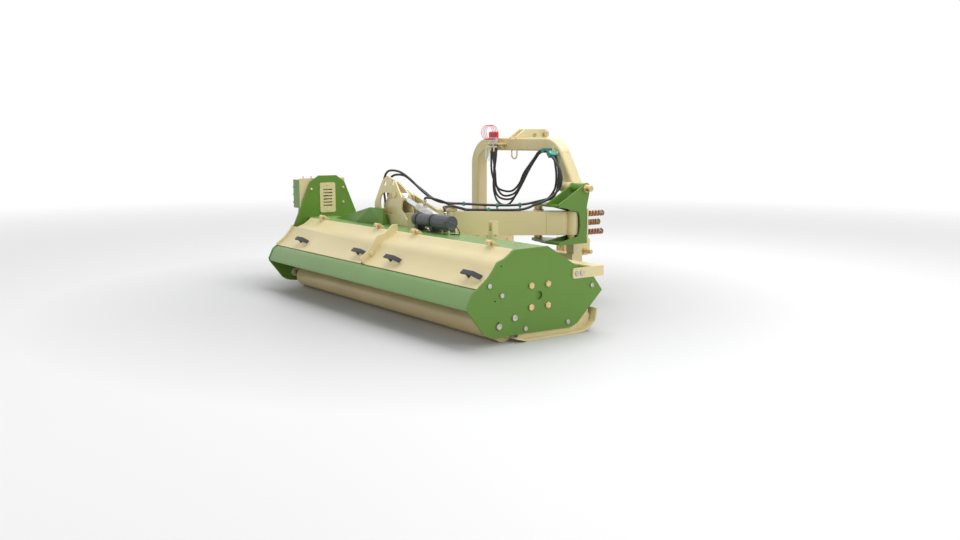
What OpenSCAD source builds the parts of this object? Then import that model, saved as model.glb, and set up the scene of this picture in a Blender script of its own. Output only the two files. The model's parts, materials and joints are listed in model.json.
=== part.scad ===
// Offset verge mulcher: flail head with roller and skids, carried by a swinging arm on a three-point hitch frame.
// Millimetres. +X is the machine's right, +Y points forward to the tractor, +Z is up.

/* [Head] */
// Distance between the outer faces of the two end plates
head_w = 2110; // [2000:10:2300]
// Thickness of an end plate
plate_t = 10; // [8:1:12]
// Thickness of the folded housing sheets
sheet_t = 5; // [4:1:6]
// Height of the rotor axis above the ground
rotor_z = 204; // [200:1:208]
// Side of the square of bolts that holds a rotor bearing
bearing_pitch = 100; // [90:2:110]
// Height of the top edge of the far end plate
tower_top = 685; // [670:5:710]
// Width of the front guard bar
guard_h = 50; // [40:2:56]

/* [Rotor and roller] */
// Radius of the rotor tube
rotor_r = 70; // [60:1:76]
// Wall of the rotor tube
rotor_wall = 8; // [6:1:10]
// Radius swept by the hammer tips
swing_r = 152; // [140:1:158]
// Number of hammers on the rotor
hammers = 20; // [12:2:24]
// Diameter of the rotor stub shafts
stub_d = 45; // [40:1:50]
// Radius of the rear roller
roller_r = 62; // [56:1:66]
// Wall of the roller tube
roller_wall = 6; // [5:1:8]
// Diameter of the roller axle
axle_d = 40; // [34:1:44]

/* [Belt drive] */
// Radius of the pulley on the gearbox shaft
drive_r = 100; // [90:1:110]
// Radius of the pulley on the rotor
driven_r = 75; // [70:1:80]
// Height of the gearbox shaft above the ground
drive_z = 550; // [545:1:556]
// Number of belts
belts = 3; // [2:1:3]
// Distance between two belts
belt_pitch = 22; // [20:1:24]
// Diameter of the gearbox output shaft
drive_d = 40; // [35:1:45]

/* [Covers] */
// Gap in the middle between the two rear covers
cover_gap = 36; // [34:1:50]
// Radius of a cover hinge bolt
hinge_r = 6; // [5:0.5:6]
// Length of a latch handle
latch_l = 130; // [120:2:166]

/* [Yoke] */
// Thickness of a yoke plate
yoke_t = 10; // [8:1:12]
// Radius of the tilt shaft
tilt_r = 30; // [26:1:34]
// Clear height of the arm's end above the lower lug of the swivel
lug_gap = 2; // [1:0.5:3]

/* [Arm] */
// Distance between the two upright pivots of the arm
arm_l = 700; // [690:5:710]
// Width of the arm's box section
arm_w = 90; // [84:1:94]
// Height of the arm's box section
arm_h = 135; // [125:1:140]
// Height of the arm's lower face above the ground
arm_z = 372; // [370:1:378]
// Wall of the arm's box section
arm_wall = 8; // [6:1:10]
// Radius of the upright pivot pins
pivot_r = 20; // [18:1:22]

/* [Hitch] */
// Side of the square tube of the hitch frame
tube = 80; // [70:1:84]
// Wall of that tube
tube_wall = 6; // [5:1:8]
// Height of the top of the frame
mast_top = 922; // [900:2:930]
// Distance between the outer faces of the lower link plates
link_span = 824; // [800:2:840]
// Diameter of the lower link pins
lower_pin_d = 28; // [22:1:30]
// Diameter of the top link pin
top_pin_d = 25; // [19:1:27]
// Diameter of the float pin
float_d = 36; // [32:1:40]
// Outer radius of a float spring
spring_r = 18; // [16:0.5:20]
// Radius of the spring wire
wire_r = 2.75; // [2.5:0.25:3.5]

/* [Hydraulics] */
// Outer diameter of a hose
hose_d = 13; // [12:0.5:14]
// Outer radius of the tilt cylinder's barrel
barrel_r = 29; // [26:1:31]
// Radius of the tilt cylinder's rod
rod_r = 15; // [13:1:17]
// Outer radius of the swing cylinder's barrel
swing_barrel_r = 23; // [21:1:23]

/* [Document tube] */
// Radius of the tube
doc_r = 34; // [30:1:36]
// Length of the tube without its cap
doc_l = 222; // [200:2:240]
// Length of the cap
doc_cap_l = 116; // [100:2:120]

/* [Hidden] */
// Smoothness of bores, tubes and rounded edges
$fn = 40;
fit = 0.05;
slack = 0.5;
eps = 0.01;

// Places along the machine
head_r = head_w / 2;
plate_in = head_r - plate_t;
end_gap = 1;
shell_x = plate_in;
deck_top = 427;
tilt_x = -321;
tilt_z = 533;
arm_angle = 36.5;
arm_dir = [-sin(arm_angle), -cos(arm_angle)];
arm_back = [-cos(arm_angle), sin(arm_angle)];
// Rear pivot b on the swivel, and front pivot a on the bracket, which carries all of the hitch with it
b_x = -71.4;
b_y = 282.3;
a_x = b_x - arm_l * arm_dir[0];
a_y = b_y - arm_l * arm_dir[1];
link_dx = -231;
link_dy = -59;
arm_top = arm_z + arm_h;
link_h = 70;
link_w = 50;
link_z = arm_z + (arm_h - link_h) / 2;
float_y = a_y + 51;
float_z = 637;
hitch_y = a_y + 60;
hitch_x = a_x - 635;

// The frame's origin lies under the middle of the box around the whole machine
skid_out = 20;
case_x0 = head_r + 10;
case_t = 10;
guard_w = 110;
guard_wall = 6;
guard_out = case_x0 + case_t + guard_w;
gear_l = 190;
x_low = -(guard_out + gear_l);
x_high = head_r + skid_out;
y_low = -406;
y_high = hitch_y + 291;
origin = [(x_low + x_high) / 2, (y_low + y_high) / 2, 0];

function unit(v) = v / norm(v);
function left_of(v) = [-v[1], v[0]];
// Point i of the line that runs at distance t to the left of the line p
function mitre(p, i, t) = let(
    a = i > 0 ? unit(p[i] - p[i - 1]) : unit(p[1] - p[0]),
    b = i < len(p) - 1 ? unit(p[i + 1] - p[i]) : a)
    p[i] + (left_of(a) + left_of(b)) * t / (1 + a * b);

module on_machine() { translate(-origin) children(); }
module sheet(p, t) { polygon(concat(p, [for (i = [len(p) - 1:-1:0]) mitre(p, i, t)])); }
// Extrudes a (Y, Z) outline from x0 to x1
module along_x(x0, x1) { translate([x0, 0, 0]) rotate([90, 0, 90]) linear_extrude(x1 - x0) children(); }
// Extrudes an (X, Z) outline from y0 to y1
module along_y(y0, y1) { translate([0, y1, 0]) rotate([90, 0, 0]) linear_extrude(y1 - y0) children(); }
module along_z(z0, z1) { translate([0, 0, z0]) linear_extrude(z1 - z0) children(); }
module rod_x(x0, x1, y, z, r) { translate([x0, y, z]) rotate([0, 90, 0]) cylinder(h = x1 - x0, r = r); }
module rod_y(y0, y1, x, z, r) { translate([x, y1, z]) rotate([90, 0, 0]) cylinder(h = y1 - y0, r = r); }
module rod_z(z0, z1, x, y, r) { translate([x, y, z0]) cylinder(h = z1 - z0, r = r); }
module dot(p, r) { translate(p) circle(r = r); }
module box(p0, p1) { translate(p0) cube(p1 - p0); }
module slot2(p, q, r) {
    dot(p, r);
    dot(q, r);
    polygon([for (s = [1, -1]) for (c = s > 0 ? [p, q] : [q, p]) c + s * r * left_of(unit(q - p))]);
}
// A square outline with round corners of four points each
module round_square(w, h, r) {
    polygon([for (q = [0:3], k = [0:3]) [
        (q == 0 || q == 3 ? 1 : -1) * (w / 2 - r) + r * cos(90 * q + 30 * k),
        (q < 2 ? 1 : -1) * (h / 2 - r) + r * sin(90 * q + 30 * k)]]);
}
// A bolt along X whose head lies on the face at x, on the side that s points to
module bolt_x(x, y, z, d, s, grip, head = 0.65) {
    head_t = d * head;
    rotate_to = s > 0 ? [0, 90, 0] : [0, -90, 0];
    translate([x, y, z]) rotate(rotate_to) {
        cylinder(h = head_t, r = d, $fn = 6);
        translate([0, 0, -grip]) cylinder(h = grip + eps, r = d / 2, $fn = 24);
        translate([0, 0, -grip - head_t]) cylinder(h = head_t + eps, r = d, $fn = 6);
    }
}

// Outline of an end plate, from the rear end of its top edge round the back, the bottom and the front
rear_edge = [[-132, 426], [-153, 422], [-171, 407], [-200, 389], [-241, 374], [-256, 350], [-285, 315],
    [-320, 286], [-351, 265], [-378, 245], [-406, 188], [-403, 170], [-350, 102], [-318, 60], [-291, 44],
    [-261, 36], [-231, 33]];
front_edge = [[-82, 35], [197, 30], [240, 45], [400, 191], [340, 265], [243, 316], [51, 429]];
// Outer line of the housing's roof, a plate's edge stands this proud of it
proud = 2;
roof_rear = -136;
roof_line = [[roof_rear, deck_top], [51, deck_top], [242, 314], [338, 262.5], [396, 192]];
function roof_at(y) = y < 51 ? deck_top : deck_top - (y - 51) * (deck_top - 314) / (242 - 51);

bearing_spots = [for (y = [-1, 1], z = [-1, 1]) [y * bearing_pitch / 2, rotor_z + z * bearing_pitch / 2]];
bearing_bolt_d = 16;
skid_spots = [[-82, 59], [176, 60]];
guard_spots = [[225, 287], [258, 287]];
roller_pivot = [-146, 116];
roller_adjust = [-236, 86];
roller_y = -177;
case_spots = [[-219, 225], [-289, 274], [328, 221]];
small_d = 12;
big_d = 16;

module plate_holes() {
    for (p = bearing_spots) dot(p, bearing_bolt_d / 2 + slack);
    for (p = concat(skid_spots, guard_spots, case_spots)) dot(p, small_d / 2 + slack);
    dot(roller_pivot, big_d / 2 + slack);
    dot([-221, 357], 4);
    dot([-255, 202], 4);
    // The slot lets the roller's bracket turn about its pivot
    for (a = [-6:3:6]) {
        v = roller_adjust - roller_pivot;
        dot(roller_pivot + [v[0] * cos(a) - v[1] * sin(a), v[0] * sin(a) + v[1] * cos(a)], 11);
    }
}

module end_plate_near() {
    color("olivedrab") on_machine() along_x(plate_in, head_r) difference() {
        polygon(concat(rear_edge, front_edge));
        plate_holes();
        dot([0, rotor_z], 20);
    }
}

// Outline of the far plate's tower, from its front foot over the top to its rear foot
tower_edge = [[216, 332], [207, 451], [127, tower_top - 41], [70, tower_top], [-56, tower_top],
    [-112, tower_top - 38], [-230, 385]];
grille_y = 5;
grille_z = 545;
grille_w = 108;
grille_h = 189;
module end_plate_far() {
    color("olivedrab") on_machine() along_x(-head_r, -plate_in) difference() {
        polygon(concat([for (i = [4:len(rear_edge) - 1]) rear_edge[i]], [for (i = [0:5]) front_edge[i]], tower_edge));
        plate_holes();
        dot([0, rotor_z], 45);
        translate([grille_y, grille_z]) square([grille_w - 40, grille_h - 50], center = true);
    }
}

module tower_grille() {
    slot_pitch = 20;
    screw_in = 14;
    color("wheat") on_machine() {
        along_x(-plate_in, -plate_in + 4) translate([grille_y, grille_z]) difference() {
            round_square(grille_w, grille_h, 10);
            for (i = [-2.5:1:2.5]) slot2([-28, i * slot_pitch], [28, i * slot_pitch], 4);
        }
        for (s = [-1, 1]) {
            rod_x(-plate_in + 4, -plate_in + 8, grille_y, grille_z + s * (grille_h / 2 - screw_in), 6);
        }
    }
}

module deck_shell() {
    color("yellowgreen") on_machine() {
        along_x(-shell_x, shell_x) sheet(roof_line, -sheet_t);
        // Cross bar that the hammers cut against
        along_x(-shell_x, shell_x) polygon([[58, 419], [92, 399], [92, 372], [58, 372]]);
    }
}

flap_line = [[-349, 261], [-375, 243], [-402, 187], [-399, 171], [-376, 168]];
module rear_flap() {
    color("yellowgreen") on_machine() along_x(-shell_x, shell_x) sheet(flap_line, sheet_t);
}

guard_z = 262;
guard_y = 393;
guard_t = 8;
module front_guard() {
    side_y = 203;
    flange = 62;
    color("wheat") on_machine() {
        along_x(-head_r - guard_t, head_r + guard_t) {
            translate([guard_y, guard_z]) square([guard_t, guard_h]);
            translate([guard_y - flange, guard_z + guard_h - guard_t]) square([flange + eps, guard_t]);
        }
        for (s = [-1, 1]) translate([s > 0 ? head_r : -head_r - guard_t, 0, 0]) along_x(0, guard_t) difference() {
            union() {
                translate([side_y + 10, guard_z]) square([guard_y - side_y - 10 + eps, guard_h]);
                translate([side_y, guard_z + 10]) square([20, guard_h - 20]);
                dot([side_y + 10, guard_z + 10], 10);
                dot([side_y + 10, guard_z + guard_h - 10], 10);
            }
            for (p = guard_spots) dot(p, small_d / 2 + slack);
        }
    }
}

module hood() {
    top = [[-661, 94, 500], [-544, 118, 500], [-429, -37, 520], [-318, -15, 520]];
    foot = [[-893, -25, 420], [-575, -58, 420], [-316, -19, 420], [-316, 30, 400], [-544, 118, 360], [-661, 94, 370]];
    color("olivedrab") on_machine() difference() {
        hull() for (p = concat(top, foot)) translate(p) cylinder(h = 1, r = 1, $fn = 4);
        roof_solid();
        box([-506, yoke_rear - 0.3, 300], [0, 300, 700]);
    }
}

skid_in = 38;
skid_strip = 8;
module skid_shoes() {
    // Sole of the shoe: rear tip, flat run, then an arc up to the front tip
    bend_y = 232;
    bend_r = 150;
    sole = concat([[-146, 18], [-82, 0]], [for (a = [0:8:48]) [bend_y + bend_r * sin(a), bend_r * (1 - cos(a))]],
        [[354, 62 + 46]]);
    color("wheat") on_machine() for (s = [-1, 1]) {
        x0 = s > 0 ? head_r - skid_in : -head_r - skid_out;
        difference() {
            union() {
                along_x(x0, x0 + skid_in + skid_out) sheet(sole, skid_strip);
                // Flange behind the end plate, bolted to it
                flange_x = s > 0 ? plate_in - 6 : -plate_in;
                along_x(flange_x, flange_x + 6) polygon([[-120, 14], [-100, 80], [195, 82], [250, 40], [232, 6], [-82, 6]]);
            }
            for (p = skid_spots) rod_x(-head_r - 50, head_r + 50, p[0], p[1], small_d / 2 + slack);
        }
    }
}

bearing_l = 50;
module bearing_housings() {
    color("darkgreen") on_machine() for (s = [-1, 1]) difference() {
        union() {
            along_x(s > 0 ? plate_in - 14 : -plate_in, s > 0 ? plate_in : -plate_in + 14) translate([0, rotor_z])
                round_square(bearing_pitch + 40, bearing_pitch + 40, 20);
            rod_x(s > 0 ? plate_in - bearing_l : -plate_in, s > 0 ? plate_in : -plate_in + bearing_l, 0, rotor_z, 55);
        }
        rod_x(-head_r, head_r, 0, rotor_z, stub_d / 2 + fit);
        for (p = bearing_spots) rod_x(-head_r, head_r, p[0], p[1], bearing_bolt_d / 2 + slack);
        for (p = bearing_spots) rod_x(-plate_in + 14, plate_in - 14, p[0], p[1], bearing_bolt_d + 1);
    }
}

module bearing_bolts() {
    color("gold") on_machine() for (s = [-1, 1], p = bearing_spots)
        bolt_x(s * head_r, p[0], p[1], bearing_bolt_d, s, plate_t + 14, 0.6);
}

module plate_bolts() {
    color("silver") on_machine() for (s = [-1, 1]) {
        for (p = skid_spots) bolt_x(s * head_r, p[0], p[1], small_d, s, plate_t + 6);
        for (p = guard_spots) bolt_x(s * (head_r + guard_t), p[0], p[1], small_d, s, plate_t + guard_t);
        for (p = case_spots) bolt_x(s * head_r, p[0], p[1], small_d, s, plate_t);
        bolt_x(s * head_r, roller_pivot[0], roller_pivot[1], big_d, s, plate_t + 12, 0.55);
        bolt_x(s * head_r, roller_adjust[0], roller_adjust[1], big_d, s, plate_t + 12, 0.55);
    }
}

rotor_end = plate_in - bearing_l - 8;
stub_near = plate_in - 0.5;
stub_far = case_x0 + case_t + 20 + belts * belt_pitch;
hammer_pitch = 2 * (rotor_end - 70) / (hammers - 1);
module rotor() {
    lug_t = 8;
    color("olivedrab") on_machine() {
        rod_x(rotor_end, stub_near, 0, rotor_z, stub_d / 2);
        rod_x(-stub_far, -rotor_end, 0, rotor_z, stub_d / 2);
        difference() {
            rod_x(-rotor_end, rotor_end, 0, rotor_z, rotor_r);
            rod_x(-rotor_end + 20, rotor_end - 20, 0, rotor_z, rotor_r - rotor_wall);
        }
        // Pairs of lugs in a helix, each pair carries one hammer
        for (i = [0:hammers - 1], s = [-1, 1]) translate([-rotor_end + 70 + i * hammer_pitch, 0, rotor_z])
            rotate([i * 137.5, 0, 0]) translate([s * 19 - lug_t / 2, 0, 0]) difference() {
                along_x(0, lug_t) polygon([[-26, rotor_r - 6], [26, rotor_r - 6], [14, rotor_r + 30], [-14, rotor_r + 30]]);
                rod_x(-1, lug_t + 1, 0, rotor_r + 16, 8.3);
            }
    }
}

module rotor_hammers() {
    pin_z = rotor_r + 16;
    color("dimgray") on_machine() for (i = [0:hammers - 1]) translate([-rotor_end + 70 + i * hammer_pitch, 0, rotor_z])
        rotate([i * 137.5, 0, 0]) {
            rod_x(-28, 28, 0, pin_z, 8);
            along_x(-14, 14) polygon([[-12, pin_z - 10], [12, pin_z - 10], [22, swing_r - 12], [12, swing_r - 1],
                [-12, swing_r - 1], [-22, swing_r - 12]]);
        }
}

groove = 12;
module pulley_profile(r, w, bore) {
    difference() {
        translate([bore, 0]) square([r - bore, w]);
        for (i = [0:belts - 1]) translate([r, w / 2 + (i - (belts - 1) / 2) * belt_pitch])
            polygon([[1, -9], [-groove, -5], [-groove, 5], [1, 9]]);
    }
}
pulley_w = belts * belt_pitch + 8;
pulley_x = -(case_x0 + case_t + 10 + pulley_w);
module rotor_pulley() {
    color("dimgray") on_machine() translate([pulley_x, 0, rotor_z]) rotate([0, 90, 0])
        rotate_extrude($fn = 64) pulley_profile(driven_r, pulley_w, stub_d / 2 + 0.02);
}
module drive_pulley() {
    shaft_in = case_x0 + case_t / 2;
    color("dimgray") on_machine() {
        translate([pulley_x, 0, drive_z]) rotate([0, 90, 0]) rotate_extrude($fn = 64)
            pulley_profile(drive_r, pulley_w, drive_d / 2 - 1);
        rod_x(-(guard_out + 40), -case_x0 - 1, 0, drive_z, drive_d / 2);
    }
}

belt_t = 9;
// Line of a belt round circles of radius r0 above and r1 below
function belt_loop(r0, r1) = let(lean = asin((r0 - r1) / (drive_z - rotor_z)), k = 16) concat(
    [for (i = [0:k]) let(a = -lean + (180 + 2 * lean) * i / k) [r0 * cos(a), drive_z + r0 * sin(a)]],
    [for (i = [0:k]) let(a = 180 + lean + (180 - 2 * lean) * i / k) [r1 * cos(a), rotor_z + r1 * sin(a)]]);
module drive_belts() {
    gap = 0.6;
    half_w = 4.5;
    r0 = drive_r - groove + gap;
    r1 = driven_r - groove + gap;
    color("black") on_machine() for (i = [0:belts - 1]) {
        x = pulley_x + pulley_w / 2 + (i - (belts - 1) / 2) * belt_pitch;
        along_x(x - half_w, x + half_w) difference() {
            polygon(belt_loop(r0 + belt_t, r1 + belt_t));
            polygon(belt_loop(r0, r1));
        }
    }
}

case_half = 165;
case_front = 128;
case_top = drive_z + drive_r + 8;
case_notch = 480;
case_r = 112;
module case_outline(grow = 0) {
    translate([-case_half - grow, case_notch - grow])
        square([case_half + case_front + 2 * grow, case_top - case_notch + 2 * grow]);
    polygon([[-case_half + 35 - grow, case_notch + 20], [case_front - 4 + grow, case_notch + 20], [case_front - 8 + grow, 390],
        [case_r + grow, rotor_z], [-case_r - grow, rotor_z], [-case_half + 20 - grow, 390]]);
    dot([0, rotor_z], case_r + grow);
}
module belt_case_plate() {
    knob_spots = [[-150, case_top + 10], [-95, case_top + 10]];
    color("wheat") on_machine() difference() {
        union() {
            along_x(-case_x0 - case_t, -case_x0) case_outline(10);
            for (p = knob_spots) rod_z(p[1] - 4, p[1] + 14, -case_x0 - case_t / 2, p[0], 4.5);
            // Spacers between the case and the tower
            for (p = [[-100, 600], [100, 600], [-130, 440], [100, 440]]) rod_x(-case_x0 - 1, -head_r, p[0], p[1], 12);
        }
        rod_x(-case_x0 - 30, -case_x0 + 30, 0, rotor_z, 40);
        rod_x(-case_x0 - 30, -case_x0 + 30, 0, drive_z, drive_d / 2 + fit);
    }
}
module belt_guard() {
    color("darkseagreen") on_machine() difference() {
        union() {
            along_x(-guard_out, -case_x0 - case_t) case_outline();
            // Flat round the drive shaft
            rod_x(-guard_out, -guard_out + guard_wall, 0, drive_z, 92);
        }
        translate([guard_wall + 2, 0, 0]) along_x(-guard_out, -case_x0 - case_t + 50) intersection() {
            case_outline();
            union() {
                translate([-case_half + guard_wall, case_notch + guard_wall])
                    square([case_half + case_front - 2 * guard_wall, case_top - case_notch - 2 * guard_wall]);
                polygon([[-case_half + 41, case_notch + 20], [case_front - 10, case_notch + 20], [case_front - 14, 390],
                    [case_r - 6, rotor_z], [-case_r + 6, rotor_z], [-case_half + 26, 390]]);
                dot([0, rotor_z], case_r - guard_wall);
            }
        }
        rod_x(-guard_out - 1, -guard_out + 20, 0, drive_z, drive_d / 2 + 3);
    }
}
module belt_tensioner() {
    x = pulley_x + pulley_w / 2;
    idler_y = 57 - case_half;
    idler_z = 372;
    color("black") on_machine() {
        rod_x(x - 36, x + 36, idler_y, idler_z, 22);
        rod_x(x - 36, -case_x0 - case_t, idler_y, idler_z, 9);
    }
}

module gearbox() {
    x1 = -guard_out;
    x0 = x_low;
    mid = (x0 + x1) / 2;
    color("dimgray") on_machine() difference() {
        union() {
            rod_x(x1 - 14, x1, 0, drive_z, 80);
            rod_x(x1 - 60, x1 - 14, 0, drive_z, 62);
            box([x0 + 12, -78, drive_z - 78], [x1 - 40, 78, drive_z + 78]);
            rod_x(x0, x0 + 14, 0, drive_z, 60);
            rod_y(70, 104, mid, drive_z, 58);
            rod_y(104, 118, mid, drive_z, 46);
            for (z = [-50, 0, 50]) box([x0 + 4, -84, drive_z + z - 4], [x1 - 60, 84, drive_z + z + 4]);
        }
        rod_x(x1 - 41, x1 + 1, 0, drive_z, drive_d / 2 + fit);
        rod_y(60, 200, mid, drive_z, 18 + fit);
    }
}
gear_mid = x_low + gear_l / 2;
module pto_shaft() {
    spline_r = 17.4;
    color("silver") on_machine() difference() {
        union() {
            rod_y(61, 119, gear_mid, drive_z, 18);
            rod_y(119, 195, gear_mid, drive_z, spline_r);
        }
        for (a = [30:60:330]) translate([gear_mid, 0, drive_z]) rotate([0, a, 0]) box([spline_r - 3, 125, -4.5], [30, 200, 4.5]);
        // Groove for the coupling's lock
        translate([gear_mid, 168, drive_z]) rotate([90, 0, 0]) rotate_extrude() translate([spline_r + 2, 0]) circle(r = 6);
    }
}
module pto_shield() {
    color("black") on_machine() translate([gear_mid, 118, drive_z]) rotate([-90, 0, 0]) rotate_extrude()
        polygon([[40, 0], [74, 0], [90, 90], [86, 90], [70, 5], [40, 5]]);
}

roller_plate_t = 12;
roller_gap = 18;
roller_end = plate_in - roller_plate_t - roller_gap;
module roller() {
    color("burlywood") on_machine() {
        difference() {
            rod_x(-roller_end, roller_end, roller_y, roller_r, roller_r);
            rod_x(-roller_end + 8, roller_end - 8, roller_y, roller_r, roller_r - roller_wall);
        }
        for (s = [-1, 1]) rod_x(s > 0 ? roller_end : -plate_in + 2, s > 0 ? plate_in - 2 : -roller_end, roller_y, roller_r, axle_d / 2);
    }
}
module roller_brackets() {
    t = roller_plate_t;
    color("wheat") on_machine() for (s = [-1, 1]) along_x(s > 0 ? plate_in - t : -plate_in, s > 0 ? plate_in : -plate_in + t)
        difference() {
            union() {
                polygon([roller_pivot + [24, 8], roller_pivot + [0, 26], roller_adjust + [-8, 24], roller_adjust + [-24, -4],
                    [roller_y - 30, roller_r - 14], [roller_y + 30, roller_r - 10]]);
                dot(roller_pivot, 26);
                dot(roller_adjust, 24);
                dot([roller_y, roller_r], 34);
            }
            dot([roller_y, roller_r], axle_d / 2 + fit);
            dot(roller_pivot, big_d / 2 + slack);
            dot(roller_adjust, big_d / 2 + slack);
        }
}

// Covers
cover_edge = [[-140, deck_top], [-152, 425], [-171, 408], [-200, 390], [-241, 375], [-256, 351], [-285, 316], [-320, 287],
    [-350, 266]];
hinge_y = -150;
hinge_z = 442;
hinge_xs = [-816, -152, 229, 877];
cover_x = [[-983, 35 - cover_gap / 2 - 10], [35 + cover_gap / 2 - 10 + 10, 1043]];
module cover(i) {
    x0 = cover_x[i][0];
    x1 = cover_x[i][1];
    along_x(x0, x1) sheet(cover_edge, sheet_t);
    for (x = [hinge_xs[2 * i], hinge_xs[2 * i + 1]]) along_x(x - 8, x + 8) difference() {
        union() {
            dot([hinge_y, hinge_z], 10);
            polygon([[hinge_y - 10, hinge_z], [-154, 422], [-143, 424], [hinge_y + 9, hinge_z - 4]]);
        }
        dot([hinge_y, hinge_z], hinge_r + fit);
    }
}
module cover_left() {
    color("wheat") on_machine() {
        cover(0);
        // Slanted end towards the tower
        along_x(-1035, -982) sheet([for (i = [4:8]) cover_edge[i]], sheet_t);
    }
}
module cover_right() { color("wheat") on_machine() cover(1); }

rib_x = 30;
module cover_rib() {
    fin = [[-346, 266.5], [-320, 287], [-285, 316], [-256, 351], [-241, 375], [-200, 390], [-171, 408], [-152, deck_top], [roof_rear, deck_top]];
    color("wheat") on_machine() {
        along_x(rib_x, rib_x + 10) sheet(fin, 36);
        along_x(20, 50) sheet(fin, -sheet_t);
        rod_x(rib_x + 10, rib_x + 20, -300, 318, 13);
    }
}

module hinge_ears() {
    color("wheat") on_machine() for (x = hinge_xs, s = [-1, 1]) {
        x0 = s > 0 ? x + 9 : x - 15;
        along_x(x0, x0 + 6) difference() {
            union() {
                dot([hinge_y, hinge_z], 11);
                polygon([[hinge_y, hinge_z + 11], [-112, deck_top], [-133, deck_top], [hinge_y, hinge_z - 11]]);
            }
            dot([hinge_y, hinge_z], hinge_r + fit);
        }
    }
}
module hinge_bolts() {
    color("gold") on_machine() for (x = hinge_xs) {
        rod_x(x - 22, x + 16, hinge_y, hinge_z, hinge_r);
        translate([x + 15, hinge_y, hinge_z]) rotate([0, 90, 0]) cylinder(h = 8, r = 10, $fn = 6);
        translate([x - 22, hinge_y, hinge_z]) rotate([0, 90, 0]) cylinder(h = 7, r = 10, $fn = 6);
    }
}

// A latch handle stands off the cover at latch_at and turns about a post square to it
latch_xs = [-762, -60, 280, 960];
latch_at = [-302.5, 301.5];
latch_slope = atan2(29, 35);
module latch(i) {
    half = latch_l / 2;
    color("darkslategray") on_machine() translate([latch_xs[i], latch_at[0], latch_at[1]]) rotate([latch_slope, 0, 0]) {
        translate([-35, 0, 0.3]) cylinder(h = 26, r = 7);
        translate([0, 12, 0]) rotate([90, 0, 0]) linear_extrude(24)
            polygon([[-half, 26], [12, 26], [half, 9], [half, 16], [14, 34], [-half, 34]]);
    }
}
module latch_1() { latch(0); }
module latch_2() { latch(1); }
module latch_3() { latch(2); }
module latch_4() { latch(3); }

// Yoke: three plates across Y, the rear one with the window
yoke_rear = 35;
yoke_mid = 97;
yoke_fore = 150;
yoke_edge = [[-497, 395], [-500, 544], [-410, 675], [-353, 706], [-268, 680], [-239, 638], [-198, 588], [-203, 517],
    [-144, 465], [-144, 395]];
mid_edge = [[-480, 370], [-480, 540], [-400, 650], [-350, 672], [-300, 650], [-209, 598], [-179, 520], [-181, 370]];
fore_edge = [[-430, 330], [-430, 500], [-385, 590], [-321, 620], [-257, 590], [-225, 500], [-225, 330]];
eye_x = -228;
eye_z = 582;
module roof_solid() { along_x(-shell_x, shell_x) polygon(concat(roof_line, [[396, 0], [roof_rear, 0]])); }
module yoke_plates() {
    color("wheat") on_machine() difference() {
        union() {
            along_y(yoke_rear, yoke_rear + yoke_t) difference() {
                polygon(yoke_edge);
                slot2([-378, 545], [-326, 545], 62);
                dot([-378, 660], 14);
                dot([-287, 668], 14);
            }
            along_y(yoke_mid, yoke_mid + yoke_t) polygon(mid_edge);
            along_y(yoke_fore, yoke_fore + yoke_t) polygon(fore_edge);
            // Webs between the plates
            box([-490, yoke_rear + yoke_t - eps, 380], [-480, yoke_mid + eps, 500]);
            box([-192, yoke_rear + yoke_t - eps, 380], [-182, yoke_mid + eps, 500]);
            box([-420, yoke_mid + yoke_t - eps, 340], [-410, yoke_fore + eps, 520]);
            box([-246, yoke_mid + yoke_t - eps, 340], [-236, yoke_fore + eps, 430]);
        }
        rod_y(yoke_mid - 1, yoke_fore + yoke_t + 1, tilt_x, tilt_z, tilt_r + fit);
        roof_solid();
    }
}
module yoke_bosses() {
    color("wheat") on_machine() {
        difference() {
            rod_y(yoke_mid + yoke_t, yoke_fore, tilt_x, tilt_z, tilt_r + 14);
            rod_y(yoke_mid, yoke_fore + 1, tilt_x, tilt_z, tilt_r + fit);
        }
        rod_y(yoke_rear - 12, yoke_rear, -264, 600, 16);
    }
}

// Tilt cylinder between the deck and the swivel's crank
cyl_y = 71;
base_x = 230;
base_z = 452;
cyl_angle = atan2(eye_z - base_z, eye_x - base_x);
cyl_l = norm([eye_x - base_x, eye_z - base_z]);
module on_cylinder() { translate([base_x, cyl_y, base_z]) rotate([0, -cyl_angle, 0]) children(); }
base_pin_r = 10;
open_gap = 6;
module tilt_base() {
    color("wheat") on_machine() difference() {
        union() {
            for (y = [cyl_y - 28, cyl_y + 18]) along_y(y, y + 10) polygon([[base_x - 32, 385], [base_x - 18, base_z + 14],
                [base_x + 20, base_z + 14], [base_x + 38, 385]]);
            rod_y(cyl_y - 32, cyl_y + 32, base_x, base_z, base_pin_r);
        }
        roof_solid();
    }
}
module tilt_barrel() {
    color("dimgray") on_machine() difference() {
        union() {
            on_cylinder() {
                rotate([0, 90, 0]) cylinder(h = 41, r = 14);
                translate([40, 0, 0]) rotate([0, 90, 0]) cylinder(h = 260, r = barrel_r);
                translate([300, 0, 0]) rotate([0, 90, 0]) cylinder(h = 16, r = barrel_r - 5);
                for (d = [60, 262]) translate([d, 0, -barrel_r + 4]) rotate([180, 0, 0]) cylinder(h = 16, r = 9);
            }
            rod_y(cyl_y - 15, cyl_y + 15, base_x, base_z, 26);
        }
        rod_y(cyl_y - 20, cyl_y + 20, base_x, base_z, base_pin_r + fit);
        on_cylinder() translate([120, 0, 0]) rotate([0, 90, 0]) cylinder(h = 250, r = rod_r + fit);
    }
}
module tilt_rod() {
    color("silver") on_machine() difference() {
        union() {
            on_cylinder() translate([190, 0, 0]) rotate([0, 90, 0]) cylinder(h = cyl_l - 190 - 12, r = rod_r);
            rod_y(cyl_y - 13, cyl_y + 13, eye_x, eye_z, 28);
        }
        rod_y(cyl_y - 20, cyl_y + 20, eye_x, eye_z, 11 + open_gap);
    }
}

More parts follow.
